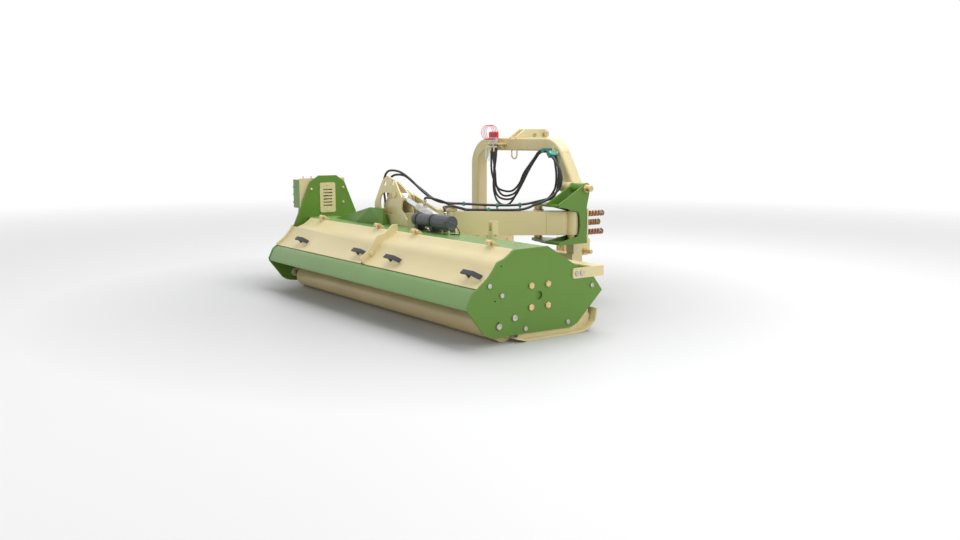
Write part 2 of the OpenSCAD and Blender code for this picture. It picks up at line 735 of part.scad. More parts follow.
// Document tube on the deck
doc_x = 28;
doc_y = -10;
doc_z = 484;
module document_tube() {
    color("dimgray") on_machine() difference() {
        rod_x(doc_x, doc_x + doc_l, doc_y, doc_z, doc_r);
        rod_x(doc_x + 4, doc_x + doc_l + 1, doc_y, doc_z, doc_r - 3);
    }
}
module document_cap() {
    color("dimgray") on_machine() difference() {
        rod_x(doc_x + doc_l - 26, doc_x + doc_l + doc_cap_l, doc_y, doc_z, doc_r + 4);
        rod_x(doc_x + doc_l - 27, doc_x + doc_l + doc_cap_l - 4, doc_y, doc_z, doc_r + 0.4);
    }
}
module document_feet() {
    color("black") on_machine() for (x = [42, 180]) difference() {
        union() {
            box([x, doc_y - 34, deck_top], [x + 44, doc_y + 34, deck_top + 8]);
            box([x + 8, doc_y - 24, deck_top + 8 - eps], [x + 36, doc_y + 24, deck_top + 34]);
        }
        rod_x(x - 1, x + 46, doc_y, doc_z, doc_r);
    }
}

stand_x = 575;
stand_y = 100;
module stand_post() {
    color("wheat") on_machine() {
        difference() {
            box([stand_x - 18, stand_y - 18, 360], [stand_x + 18, stand_y + 18, 506]);
            box([stand_x - 14, stand_y - 14, 380], [stand_x + 14, stand_y + 14, 507]);
            box([stand_x - 9, stand_y - 19, 458], [stand_x + 9, stand_y + 19, 494]);
            roof_solid();
        }
        rod_x(stand_x + 14, stand_x + 40, stand_y, 440, 6);
    }
}

module valve_block() {
    color("goldenrod") on_machine() difference() {
        union() {
            box([-560, 122, 430], [-505, 156, 500]);
            box([-505 - eps, 124, 450], [-484, 136, 480]);
            box([-542, 126, 350], [-522, 146, 430 + eps]);
        }
        roof_solid();
    }
}

// Hoses: each is swept along points chosen by hand
function hose_dir(p, i) = unit(p[min(i + 1, len(p) - 1)] - p[max(i - 1, 0)]);
function hose_ring(c, d, r, n, side) = let(
    s = is_undef(side) ? unit(cross(d, abs(d[2]) > 0.9 ? [1, 0, 0] : [0, 0, 1])) : side,
    u = cross(s, d)) [for (k = [0:n - 1]) c + r * (cos(360 * k / n) * s + sin(360 * k / n) * u)];
function spline_point(p, i, t) = let(
    a = p[max(i - 1, 0)], b = p[i], c = p[i + 1], d = p[min(i + 2, len(p) - 1)])
    0.5 * (2 * b + (c - a) * t + (2 * a - 5 * b + 4 * c - d) * t * t + (3 * b - a - 3 * c + d) * t * t * t);
function smooth(p, k) = concat([for (i = [0:len(p) - 2], j = [0:k - 1]) spline_point(p, i, j / k)], [p[len(p) - 1]]);
module hose(points, r = hose_d / 2, steps = 2, n = 8, side = undef) {
    q = smooth(points, steps);
    rings = [for (i = [0:len(q) - 1]) each hose_ring(q[i], hose_dir(q, i), r, n, side)];
    last = (len(q) - 1) * n;
    faces = concat(
        [[for (k = [n - 1:-1:0]) k]],
        [[for (k = [0:n - 1]) last + k]],
        [for (i = [0:len(q) - 2], k = [0:n - 1], s = [0, 1]) let(
            a = i * n + k, b = i * n + (k + 1) % n, c = a + n, e = b + n)
            s == 0 ? [a, b, c] : [b, e, c]]);
    polyhedron(rings, faces);
}

// Loops from the couplings to the clamp on the frame's bend, and on down the leg
clamp_x = a_x - 245;
clamp_z = 848;
hose_ys = [for (d = [25, 39, 53, 67]) hitch_y - d];
loop_1 = [[-471, 871.6], [-471, 810], [-464, 700], [-411, 614], [-339, 590], [-253, 594], [-184, 640], [-143, 702],
    [-90, 755], [-24, 812], [40, 841], [100, clamp_z], [152, 822], [178, 745], [182, 680], [174, 630]];
loop_2 = [[-435, 871.6], [-435, 810], [-412, 712], [-397, 620], [-338, 565], [-253, 567], [-183, 602], [-116, 694],
    [-50, 773], [30, 834], [100, clamp_z], [148, 818], [172, 745], [178, 680], [168, 630]];
loop_3 = [[-400, 871.6], [-400, 810], [-404, 640], [-367, 560], [-281, 540], [-197, 560], [-129, 634], [-63, 722],
    [2, 795], [50, 838], [100, clamp_z], [160, 818], [214, 745], [232, 680], [214, 630]];
loop_4 = [[-365, 871.6], [-365, 810], [-392, 640], [-367, 545], [-309, 508], [-238, 512], [-183, 554], [-102, 652],
    [-24, 752], [40, 832], [100, clamp_z], [165, 815], [236, 745], [256, 680], [236, 630]];
// A loop's points are chosen for a front pivot at x 345
function at_y(p, y) = [for (q = p) [q[0] + a_x - 345, y, q[1]]];
module frame_hoses() {
    loops = [loop_1, loop_2, loop_3, loop_4];
    color("black") on_machine() for (i = [0:3]) hose(at_y(loops[i], hose_ys[i]));
}

// A point on the arm: t from its front pivot, off across it to the rear side, z above the ground
function arm_point(t, off, z) = [a_x + t * arm_dir[0] + off * arm_back[0], a_y + t * arm_dir[1] + off * arm_back[1], z];
module arm_hoses() {
    low = arm_top + hose_d / 2;
    gap = hose_d + 3;
    color("black") on_machine() for (k = [0, gap]) {
        hose([arm_point(150, 14 + k, 572), arm_point(200, 14 + k, 560), arm_point(270, 12 + k, 545), arm_point(368, 10 + k, 538),
            arm_point(500, 12 + k, 540.8), arm_point(640, 10 + k, 548)]);
        hose([arm_point(170, -40 + k, 562), arm_point(210, -39 + k, 548), arm_point(260, -37 + k, 526),
            arm_point(310, -34 + k, low + 3), arm_point(430, -24 + k, low + 0.5), arm_point(520, -10 + k, low + 0.4),
            arm_point(600, -4 + k, low + 0.4)]);
    }
}
module arch_hoses() {
    color("black") on_machine() {
        hose([[-172, 142, 634], [-237, 128, 680], [-337, 120, 722], [-440, 120, 731], [-505, 124, 716], [-545, 128, 670],
            [-552, 130, 610], [-541, 131, 550], [-541, 131, 500.3]]);
        hose([[-245, 160, 655], [-330, 146, 700], [-420, 142, 706], [-482, 142, 690], [-515, 142, 650], [-524, 142, 600],
            [-520, 142, 550], [-520, 142, 500.3]]);
    }
}

// Swivel: shaft in the yoke, crank for the cylinder and lugs for the arm and the link
link_a = [a_x + link_dx, a_y + link_dy];
link_b = [b_x + link_dx, b_y + link_dy];
lug_t = 12;
lug_low = arm_z - lug_gap - lug_t;
lug_high = arm_top + lug_gap;
plate_y = 165;
swivel_t = 14;
web_y = 222;
link_ear = link_z - lug_gap - lug_t;
crank_t = 10;
module swivel() {
    side_x = b_x + 38;
    color("wheat") on_machine() difference() {
        union() {
            rod_y(cyl_y + 17, plate_y + 2, tilt_x, tilt_z, tilt_r);
            // Crank with the pin for the tilt cylinder's eye
            for (y = [cyl_y - 25, cyl_y + 15]) along_y(y, y + crank_t) slot2([tilt_x, tilt_z], [eye_x, eye_z], 30);
            rod_y(cyl_y - 25, cyl_y + 20, tilt_x, tilt_z, 40);
            rod_y(cyl_y - 25, cyl_y + 20, eye_x, eye_z, 11);
            // Cross plate, shallow where the head's roof comes near
            along_y(plate_y, plate_y + swivel_t) polygon([[-372, 384], [-380, 560], [-340, 600], [-290, 600],
                [side_x, lug_high + lug_t], [side_x, 424], [-180, 404], [-230, 384]]);
            // Upper lug over both pivots, a lower lug each for the arm and the link
            along_z(lug_high, lug_high + lug_t) {
                polygon([[side_x, b_y], [side_x, plate_y + 6], [-362, plate_y + 6], [link_b[0] - 36, link_b[1]],
                    [link_b[0], link_b[1] + 34], [b_x, b_y + 38]]);
                dot([b_x, b_y], 40);
                dot(link_b, 36);
            }
            along_z(lug_low, lug_low + lug_t) {
                polygon([[side_x, b_y], [side_x, web_y], [b_x - 50, web_y], [b_x - 38, b_y]]);
                dot([b_x, b_y], 40);
            }
            along_z(link_ear, link_ear + lug_t) {
                polygon([[-364, plate_y + 4], [-262, plate_y + 4], [link_b[0] + 34, link_b[1]], [link_b[0] - 34, link_b[1]]]);
                dot(link_b, 34);
            }
            box([b_x - 50, web_y, lug_low + 1], [side_x, web_y + 12, lug_high + 1]);
            for (x = [b_x - 50, side_x - 12]) box([x, plate_y + 4, 430], [x + 12, web_y + 4, lug_high + 1]);
        }
        rod_z(lug_low - 1, lug_high + lug_t + 1, b_x, b_y, pivot_r + fit);
        rod_z(lug_low - 1, lug_high + lug_t + 1, link_b[0], link_b[1], pivot_r + fit);
    }
}
module pivot_pin(p, z0, z1) {
    rod_z(z0 - 6, z1 + 8, p[0], p[1], pivot_r);
    rod_z(z1, z1 + 8, p[0], p[1], pivot_r + 8);
    rod_z(z0 - 6, z0, p[0], p[1], pivot_r + 4);
}
module swivel_pins() {
    color("gold") on_machine() {
        pivot_pin([b_x, b_y], lug_low, lug_high + lug_t);
        pivot_pin(link_b, link_ear, lug_high + lug_t);
    }
}

end_r = 46;
module on_arm() { translate([a_x, a_y, 0]) rotate([0, 0, 270 - arm_angle]) children(); }
swing_q = 86;
swing_along = 430;
swing_off = 80;
swing_z = arm_z + arm_h / 2 - 6;
module arm() {
    sleeve = 100;
    color("wheat") on_machine() on_arm() difference() {
        union() {
            difference() {
                union() {
                    along_z(arm_z, arm_top) polygon([[30, -20], [46, -arm_w / 2], [arm_l - 22, -arm_w / 2],
                        [arm_l - 22, arm_w / 2], [46, arm_w / 2], [30, 20]]);
                    // Sleeve round the front end
                    box([50, -arm_w / 2 - 4, arm_z + 1], [50 + sleeve, arm_w / 2 + 4, arm_top - 1]);
                }
                box([60, -arm_w / 2 + arm_wall, arm_z + arm_wall], [arm_l - 60, arm_w / 2 - arm_wall, arm_top - arm_wall]);
            }
            rod_z(arm_z, arm_top, 0, 0, 36);
            rod_z(arm_z, arm_top, arm_l, 0, end_r);
            // Clip under the upper pair of hoses
            box([492, -36, arm_top - 1], [508, -12.5, 534]);
            // Clevis for the swing cylinder
            for (z = [swing_z - 32, swing_z + 20]) translate([0, 0, z]) linear_extrude(12)
                slot2([swing_along, -arm_w / 2], [swing_along, -swing_off], 26);
            rod_z(swing_z - 36, swing_z + 36, swing_along, -swing_off, 12);
        }
        rod_z(arm_z - 1, arm_top + 1, 0, 0, pivot_r + fit);
        rod_z(arm_z - 1, arm_top + 1, arm_l, 0, pivot_r + fit);
    }
}
module parallel_link() {
    color("wheat") on_machine() translate([link_dx, link_dy, 0]) on_arm() difference() {
        union() {
            box([10, -link_w / 2, link_z], [arm_l - 10, link_w / 2, link_z + link_h]);
            for (x = [0, arm_l]) rod_z(link_z, arm_top, x, 0, 32);
        }
        box([60, -link_w / 2 + 6, link_z + 6], [arm_l - 60, link_w / 2 - 6, link_z + link_h - 6]);
        for (x = [0, arm_l]) rod_z(arm_z - 1, arm_top + 1, x, 0, pivot_r + fit);
    }
}

// Float bracket
bracket_out = 55;
bracket_t = 10;
front_x0 = a_x - bracket_out;
front_x1 = a_x + bracket_out;
bracket_edge = [for (p = [[-150, 554], [-100, 580], [23, 648], [35, 664], [70, 664], [79, 640], [78, 605], [64, 548], [59, 521],
    [53, 428], [66, 338], [66, 323], [-148, 323], [-148, 338], [-5, 364], [7, 385], [13, 430], [7, 480], [-3, 506],
    [-105, 530], [-150, 536]]) p + [a_y, 0]];
q_x = a_x + swing_q * cos(168.5);
q_y = a_y + swing_q * sin(168.5);
low_z = [323, 338];
high_z = [534, 546];
module bracket_plan() {
    polygon([[front_x0, a_y + 60], [front_x1, a_y + 60], [front_x1, a_y - 145], [front_x0 - 10, a_y - 148], [link_a[0] - 20, link_a[1] - 34],
        [link_a[0] - 36, link_a[1]], [link_a[0] - 20, link_a[1] + 32]]);
    dot(link_a, 38);
}
module float_bracket() {
    color("olivedrab") on_machine() difference() {
        union() {
            for (x = [front_x0, front_x1 - bracket_t]) along_x(x, x + bracket_t) polygon(bracket_edge);
            along_z(low_z[0], low_z[1]) bracket_plan();
            along_z(high_z[0], high_z[1]) bracket_plan();
            box([front_x0 + 5, a_y + 52, low_z[1] - eps], [front_x1 - 5, a_y + 59, high_z[0] + eps]);
            rod_x(front_x0 + 5, front_x1 - 5, float_y, float_z, float_d / 2 + 10);
            // Ears that carry the swing cylinder's pin
            for (z = [[swing_z - 36, swing_z - 24], [swing_z + 24, swing_z + 36]]) along_z(z[0], z[1])
                slot2([q_x, q_y], [front_x0 + 4, a_y + 35], 22);
        }
        rod_x(front_x0 - 1, front_x1 + 1, float_y, float_z, float_d / 2 + fit);
        rod_z(low_z[0] - 1, high_z[1] + 1, a_x, a_y, pivot_r + fit);
        rod_z(low_z[0] - 1, high_z[1] + 1, link_a[0], link_a[1], pivot_r + fit);
        rod_z(swing_z - 50, swing_z + 50, q_x, q_y, 12 + fit);
        for (z = spring_zs) rod_y(a_y + 45, a_y + 65, a_x, z, 6 + fit);
    }
}
module bracket_pins() {
    color("gold") on_machine() {
        for (p = [[a_x, a_y], link_a]) pivot_pin(p, low_z[0], high_z[1]);
        // Collars that hold the arm and the link at their height
        rod_z(low_z[1], arm_z - lug_gap, a_x, a_y, pivot_r + 6);
        rod_z(low_z[1], link_z - lug_gap, link_a[0], link_a[1], pivot_r + 6);
        for (p = [[a_x, a_y], link_a]) rod_z(arm_top + lug_gap, high_z[0], p[0], p[1], pivot_r + 6);
        rod_z(swing_z - 36, swing_z + 42, q_x, q_y, 12);
        rod_z(swing_z + 36, swing_z + 42, q_x, q_y, 18);
        for (x = [50, 86]) translate([link_a[0] + x, link_a[1] - 8, low_z[0] - 12]) cylinder(h = 12, r = 11, $fn = 6);
    }
}

// Swing cylinder, beside the arm
p_swing = [arm_point(swing_along, swing_off, 0)[0], arm_point(swing_along, swing_off, 0)[1]];
swing_l = norm(p_swing - [q_x, q_y]);
swing_angle = atan2(p_swing[1] - q_y, p_swing[0] - q_x);
swing_gap = 9.5;
module on_swing() { translate([q_x, q_y, swing_z]) rotate([0, 0, swing_angle]) children(); }
module swing_barrel() {
    color("dimgray") on_machine() difference() {
        union() {
            on_swing() translate([18, 0, 0]) rotate([0, 90, 0]) cylinder(h = 272, r = swing_barrel_r);
            rod_z(swing_z - 20, swing_z + 20, q_x, q_y, 22);
        }
        rod_z(swing_z - 30, swing_z + 30, q_x, q_y, 12 + fit);
        on_swing() translate([60, 0, 0]) rotate([0, 90, 0]) cylinder(h = 300, r = 12 + fit);
    }
}
module swing_rod() {
    color("silver") on_machine() difference() {
        union() {
            on_swing() translate([160, 0, 0]) rotate([0, 90, 0]) cylinder(h = swing_l - 160 - 20, r = 12);
            rod_z(swing_z - 18, swing_z + 18, p_swing[0], p_swing[1], 30);
        }
        rod_z(swing_z - 30, swing_z + 30, p_swing[0], p_swing[1], 12 + swing_gap);
    }
}

// Float springs on rods between the bracket and the frame's spring plate
spring_zs = [487, 436, 380];
spring_y = hitch_y + 20;
spring_ends = [for (l = [153, 122, 148]) spring_y + l];
module spring_rods() {
    color("gray") on_machine() for (i = [0:2]) {
        rod_y(a_y + 52, spring_ends[i] + 8, a_x, spring_zs[i], 6);
        rod_y(spring_ends[i], spring_ends[i] + 4, a_x, spring_zs[i], spring_r);
        rod_y(spring_ends[i] + 4 - eps, spring_ends[i] + 12, a_x, spring_zs[i], 10);
    }
}
// Least distance between points at least half a turn apart, less the wire's thickness
function self_gap(p, n, r) = min([for (i = [0:len(p) - 1 - n / 2], j = [i + n / 2:len(p) - 1]) norm(p[i] - p[j])]) - 2 * r;
function coil(l, turns, r, n) = [for (k = [0:turns * n]) [r * cos(360 * k / n), r * sin(360 * k / n), l * k / (turns * n)]];
module float_springs() {
    n = 8;
    turns = 8;
    color("peru") on_machine() for (i = [0:2]) {
        l = spring_ends[i] - spring_y - 2 * wire_r - 0.4;
        path = coil(l, turns, spring_r - wire_r, n);
        echo(str("least gap of float spring ", i + 1, " to itself, mm: ", self_gap(path, n, wire_r)));
        translate([a_x, spring_y + wire_r + 0.2, spring_zs[i]]) rotate([-90, 0, 0]) hose(path, wire_r, 1, 6);
    }
}

// Hitch frame: a bent square tube, a low cross tube and the post that carries the spring plate
left_x = a_x - 1032;
bend_r = 135;
leg_angle = 31.4;
frame_y = hitch_y + tube / 2;
top_z = mast_top - tube / 2;
corner_x = a_x - 247;
low_tube_z = 165;
leg_end = [a_x - 93, 629];
leg_dir = [sin(leg_angle), -cos(leg_angle)];
turn_2 = 90 - leg_angle;
tangent_2 = bend_r * tan(turn_2 / 2);
module tube_outline(hollow, less = 0) {
    w = hollow ? tube - 2 * tube_wall : tube - less;
    round_square(w, w, hollow ? 8 : 14);
}
// A straight run reaches a little into the bends at its ends and is a hair slimmer than they are.
// Walls are left across the hollow where a run meets a bend.
reach = 4;
module tube_run(l, hollow) {
    stop = hollow ? reach + 3 : 0;
    translate([0, 0, stop]) linear_extrude(l - 2 * stop) tube_outline(hollow, 0.4);
}
module tube_bend(turn, hollow) {
    stop = hollow ? 3 : 0;
    rotate([90, 0, 0]) rotate([0, 0, 90 - turn + stop]) rotate_extrude(angle = turn - 2 * stop)
        translate([bend_r, 0]) tube_outline(hollow);
}
module frame_path(hollow) {
    leg_start = tangent_2 - reach;
    top_l = corner_x - tangent_2 - left_x - bend_r;
    translate([left_x, frame_y, low_tube_z]) tube_run(top_z - bend_r - low_tube_z + reach, hollow);
    translate([left_x + bend_r, frame_y, top_z - bend_r]) mirror([1, 0, 0]) tube_bend(90, hollow);
    translate([left_x + bend_r - reach, frame_y, top_z]) rotate([0, 90, 0]) tube_run(top_l + 2 * reach, hollow);
    translate([corner_x - tangent_2, frame_y, top_z - bend_r]) tube_bend(turn_2, hollow);
    translate([corner_x + leg_start * leg_dir[0], frame_y, top_z + leg_start * leg_dir[1]]) rotate([0, 180 - leg_angle, 0])
        tube_run(norm(leg_end - [corner_x, top_z]) - leg_start, hollow);
}
post_x = a_x - 123;
module hitch_frame() {
    plate = [post_x, front_x1];
    color("wheat") on_machine() difference() {
        union() {
            difference() {
                frame_path(false);
                frame_path(true);
            }
            // Low cross tube and the post up to the leg
            box([left_x + tube / 2 - eps, hitch_y, low_tube_z], [post_x + 60, hitch_y + tube, low_tube_z + tube]);
            box([post_x, hitch_y + 10, low_tube_z + tube - eps], [post_x + 60, hitch_y + 70, 640]);
            // Boss of the float pin
            rod_x(front_x0 - 92, front_x0 - 2, float_y, float_z, float_d / 2 + 12);
            box([front_x0 - 88, float_y, float_z - 26], [front_x0 - 6, hitch_y + 40, float_z + 26]);
            // Spring plate
            box([post_x + 10, spring_y - 12, 345], [front_x1 - 6, spring_y, 520]);
        }
        box([left_x + tube / 2 + 6, hitch_y + 6, low_tube_z + 6], [post_x + 54, hitch_y + tube - 6, low_tube_z + tube - 6]);
        rod_x(front_x0 - 100, front_x0 + 1, float_y, float_z, float_d / 2 + 0.02);
        for (z = spring_zs) rod_y(hitch_y, hitch_y + 25, a_x, z, 13);
    }
}
link_y = hitch_y + 245;
lower_z = 233;
top_pin_y = hitch_y + 235;
top_pin_z = 946;
lug_plate = 12;
right_link = hitch_x + link_span / 2;
left_link = hitch_x - link_span / 2;
module link_plates() {
    lower_edge = [for (p = [[tube, 206], [275, 206], [291, 222], [291, 300], [265, 325], [tube, 325]]) p + [hitch_y, 0]];
    top_edge = [for (p = [[-1, mast_top], [78, 975], [247, 976], [264, 962], [266, 926], [215, 905], [95, 880],
        [tube, 845], [tube, mast_top]]) p + [hitch_y, 0]];
    color("wheat") on_machine() {
        for (x = [right_link - lug_plate, right_link - lug_plate - 60, left_link, left_link + 60]) along_x(x, x + lug_plate) difference() {
            polygon(lower_edge);
            dot([link_y, lower_z], lower_pin_d / 2 + fit);
            slot2([hitch_y + 100, 244], [hitch_y + 100, 286], 5);
        }
        for (x = [hitch_x + 23, hitch_x - 35]) along_x(x, x + lug_plate) difference() {
            polygon(top_edge);
            dot([top_pin_y, top_pin_z], top_pin_d / 2 + fit);
            dot([hitch_y + 155, 935], 16);
        }
    }
}
module link_pins() {
    color("gold") on_machine() {
        rod_x(right_link - lug_plate - 70, right_link + 62, link_y, lower_z, lower_pin_d / 2);
        rod_x(left_link - 62, left_link + lug_plate + 70, link_y, lower_z, lower_pin_d / 2);
        rod_x(right_link, right_link + 6, link_y, lower_z, lower_pin_d / 2 + 7);
        rod_x(left_link - 6, left_link, link_y, lower_z, lower_pin_d / 2 + 7);
        rod_x(hitch_x - 52, hitch_x + 52, top_pin_y, top_pin_z, top_pin_d / 2);
        rod_x(hitch_x + 52 - eps, hitch_x + 60, top_pin_y, top_pin_z, top_pin_d / 2 + 6);
        rod_x(front_x0 - 94, front_x1 + 42, float_y, float_z, float_d / 2);
        rod_x(front_x1 + 2, front_x1 + 8, float_y, float_z, float_d / 2 + 6);
    }
}
coupling_xs = [for (d = [816, 780, 745, 710]) a_x - d];
module couplings() {
    tether_r = 45;
    color("red") on_machine() {
        box([a_x - 845, hitch_y - 75, 880], [a_x - 685, hitch_y, 888]);
        for (i = [0:3]) {
            rod_z(872, 880 + eps, coupling_xs[i], hose_ys[i], 11);
            rod_z(888 - eps, 924, coupling_xs[i], hose_ys[i], 14);
            rod_z(924 - eps, 958, coupling_xs[i], hose_ys[i], 16);
            // Tether of the dust cap, from its top round to the coupling's neck
            hose([for (k = [0:12]) let(turn = 4.3 + 290.7 * k / 12) [coupling_xs[i],
                hose_ys[i] - tether_r + 11 + tether_r * cos(turn), 955 + tether_r * sin(turn)]], r = 1.6, n = 6, side = [1, 0, 0]);
        }
        // Clamp round the hoses on the bend
        difference() {
            box([clamp_x - 10, hitch_y - 79, clamp_z - 15], [clamp_x + 10, hitch_y, clamp_z + 15]);
            box([clamp_x - 11, hitch_y - 76, clamp_z - 11], [clamp_x + 11, hitch_y - 16, clamp_z + 8.5]);
        }
    }
}

end_plate_near();
end_plate_far();
deck_shell();
rear_flap();
front_guard();
tower_grille();
hood();
skid_shoes();
bearing_housings();
bearing_bolts();
plate_bolts();
rotor();
rotor_hammers();
rotor_pulley();
drive_belts();
drive_pulley();
belt_case_plate();
belt_guard();
belt_tensioner();
gearbox();
pto_shaft();
pto_shield();
roller();
roller_brackets();
cover_left();
cover_right();
cover_rib();
hinge_ears();
hinge_bolts();
latch_1();
latch_2();
latch_3();
latch_4();
yoke_plates();
yoke_bosses();
tilt_base();
tilt_barrel();
tilt_rod();
document_tube();
document_cap();
document_feet();
stand_post();
valve_block();
arch_hoses();
swivel();
swivel_pins();
arm();
parallel_link();
arm_hoses();
float_bracket();
bracket_pins();
swing_barrel();
swing_rod();
spring_rods();
float_springs();
hitch_frame();
link_plates();
link_pins();
couplings();
frame_hoses();
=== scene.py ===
"""Looks of an offset mulcher: paint, hoses, fittings, springs and small hardware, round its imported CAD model.

Points are written in millimetres on the machine's own axes, as in part.scad.
`at` turns one into metres in the frame.
"""

import json
import math

import bmesh
import bpy
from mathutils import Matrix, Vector

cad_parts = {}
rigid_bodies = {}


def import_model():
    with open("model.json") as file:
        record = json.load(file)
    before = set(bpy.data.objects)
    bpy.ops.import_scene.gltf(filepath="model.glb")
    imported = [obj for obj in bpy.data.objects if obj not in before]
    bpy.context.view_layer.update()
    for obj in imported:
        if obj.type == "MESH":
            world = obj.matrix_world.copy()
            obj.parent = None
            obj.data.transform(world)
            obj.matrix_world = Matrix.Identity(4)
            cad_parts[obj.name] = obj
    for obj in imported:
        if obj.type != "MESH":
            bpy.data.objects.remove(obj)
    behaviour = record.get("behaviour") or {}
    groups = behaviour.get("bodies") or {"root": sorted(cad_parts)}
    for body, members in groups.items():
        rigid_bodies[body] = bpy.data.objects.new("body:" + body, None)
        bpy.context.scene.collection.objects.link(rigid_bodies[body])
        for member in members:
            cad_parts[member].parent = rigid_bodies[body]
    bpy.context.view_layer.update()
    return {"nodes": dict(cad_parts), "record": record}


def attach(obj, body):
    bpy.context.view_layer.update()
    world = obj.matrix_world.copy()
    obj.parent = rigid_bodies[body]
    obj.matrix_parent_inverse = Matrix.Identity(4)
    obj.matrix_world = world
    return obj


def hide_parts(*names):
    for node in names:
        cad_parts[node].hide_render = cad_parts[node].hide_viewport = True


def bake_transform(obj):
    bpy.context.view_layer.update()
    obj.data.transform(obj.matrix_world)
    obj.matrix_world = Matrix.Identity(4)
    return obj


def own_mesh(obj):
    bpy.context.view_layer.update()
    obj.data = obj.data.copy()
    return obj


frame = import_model()

# Named sizes, as in part.scad
ARM_ANGLE = math.radians(36.5)
ARM_LENGTH = 700
ARM_TOP = 507
REAR_PIVOT = (-71.4, 282.3)
ARM_DIR = (-math.sin(ARM_ANGLE), -math.cos(ARM_ANGLE))
ARM_ACROSS = (math.cos(ARM_ANGLE), -math.sin(ARM_ANGLE), 0)
FRONT_PIVOT = tuple(REAR_PIVOT[i] - ARM_LENGTH * ARM_DIR[i] for i in (0, 1))
HITCH_Y = FRONT_PIVOT[1] + 60
MACHINE_LOW_Y = -406
BRACKET_HALF = 55
FLOAT_Z = 637
ORIGIN = Vector((-150, (MACHINE_LOW_Y + HITCH_Y + 291) / 2, 0))
HOSE_R = 6.5
NODES = frame["nodes"]


def at(x, y, z):
    return (Vector((x, y, z)) - ORIGIN) / 1000


def arm_point(t, off, z):
    """A point on the arm: t from its front pivot, off across it to the rear side, z above the ground."""
    back = (-math.cos(ARM_ANGLE), math.sin(ARM_ANGLE))
    return [FRONT_PIVOT[i] + t * ARM_DIR[i] + off * back[i] for i in (0, 1)] + [z]


# Camera

def make_camera():
    """The photograph's view: 8.3 degrees down, from the head's near rear corner."""
    down = math.radians(8.2535)
    ahead = Vector((-0.80403, 0.59459, 0)).normalized()
    data = bpy.data.cameras.new("camera")
    data.lens, data.sensor_width = 34.125, 36
    camera = bpy.data.objects.new("camera", data)
    camera.location = (4.3611, -3.0670, 0.92)
    forward = ahead * math.cos(down) - Vector((0, 0, math.sin(down)))
    camera.rotation_euler = forward.to_track_quat("-Z", "Y").to_euler()
    bpy.context.scene.collection.objects.link(camera)
    bpy.context.scene.camera = camera


# Materials

def srgb(*values):
    return [((v / 255 + 0.055) / 1.055) ** 2.4 if v > 10 else v / 255 / 12.92 for v in values]


class Finish:
    """A material whose colour, roughness and bump come from procedural nodes."""

    def __init__(self, name, metallic=0.0, coat=0.0, specular=0.5, uv=False):
        self.material = bpy.data.materials.new(name)
        self.material.use_nodes = True
        self.tree = self.material.node_tree
        self.surface = self.tree.nodes["Principled BSDF"]
        self.surface.inputs["Metallic"].default_value = metallic
        self.surface.inputs["Coat Weight"].default_value = coat
        self.surface.inputs["Coat Roughness"].default_value = 0.15
        self.surface.inputs["Specular IOR Level"].default_value = specular
        self.where = self.add("TexCoord").outputs["UV" if uv else "Object"]
        self.height = None

    def add(self, kind, **inputs):
        node = self.tree.nodes.new("ShaderNode" + kind)
        for name, value in inputs.items():
            self.put(value, node.inputs[name.replace("_", " ")])
        return node

    def put(self, value, socket):
        if isinstance(value, bpy.types.NodeSocket):
            self.tree.links.new(value, socket)
        else:
            socket.default_value = value

    def put_colour(self, value, socket):
        self.put(value if isinstance(value, bpy.types.NodeSocket) else (*value, 1), socket)

    def stretched(self, x, y, z):
        return self.add("Mapping", Vector=self.where, Scale=(x, y, z)).outputs["Vector"]

    def noise(self, scale, detail=2.0, where=None):
        return self.add("TexNoise", Vector=where or self.where, Scale=scale, Detail=detail).outputs["Fac"]

    def ramp(self, value, low, high, to_low=0.0, to_high=1.0):
        node = self.add("MapRange", Value=value)
        for name, number in (("From Min", low), ("From Max", high), ("To Min", to_low), ("To Max", to_high)):
            node.inputs[name].default_value = number
        return node.outputs["Result"]

    def mix(self, a, b, factor):
        node = self.tree.nodes.new("ShaderNodeMix")
        node.data_type = "RGBA"
        self.put(factor, node.inputs[0])
        for value, socket in ((a, node.inputs[6]), (b, node.inputs[7])):
            self.put_colour(value, socket)
        return node.outputs[2]

    def edges(self, radius):
        """1 along edges, 0 on flats: the mask of the painted highlights along edges."""
        bevel = self.add("Bevel")
        bevel.samples = 4
        bevel.inputs["Radius"].default_value = radius
        dot = self.tree.nodes.new("ShaderNodeVectorMath")
        dot.operation = "DOT_PRODUCT"
        self.put(bevel.outputs["Normal"], dot.inputs[0])
        self.put(self.add("NewGeometry").outputs["Normal"], dot.inputs[1])
        return self.ramp(dot.outputs["Value"], 0.995, 0.80)

    def bump(self, value, strength, distance):
        node = self.add("Bump", Height=value, Strength=strength, Distance=distance)
        if self.height:
            self.put(self.height, node.inputs["Normal"])
        self.height = node.outputs["Normal"]

    def done(self, colour, rough):
        self.put_colour(colour, self.surface.inputs["Base Color"])
        self.put(rough, self.surface.inputs["Roughness"])
        if self.height:
            self.put(self.height, self.surface.inputs["Normal"])
        return self.material


def shade(colour, factor):
    return [min(1.0, c * factor) for c in colour]


def paint(name, colour, rough=0.34):
    """Sprayed enamel: broad tone, fine mottling, orange peel, and a painted highlight along edges."""
    m = Finish(name, coat=0.12)
    tone = m.mix(shade(colour, 0.93), shade(colour, 1.06), m.ramp(m.noise(2.6, 3), 0.3, 0.7))
    tone = m.mix(tone, shade(colour, 1.25), m.ramp(m.noise(180, 2), 0.52, 0.80, 0, 0.12))
    # Paler along edges: a painted highlight.
    tone = m.mix(tone, shade(colour, 1.55), m.ramp(m.edges(0.0022), 0.0, 1.0, 0, 0.42))
    m.bump(m.noise(160, 1), 0.03, 0.0002)
    return m.done(tone, m.ramp(m.noise(14, 3), 0.25, 0.75, rough - 0.05, rough + 0.07))


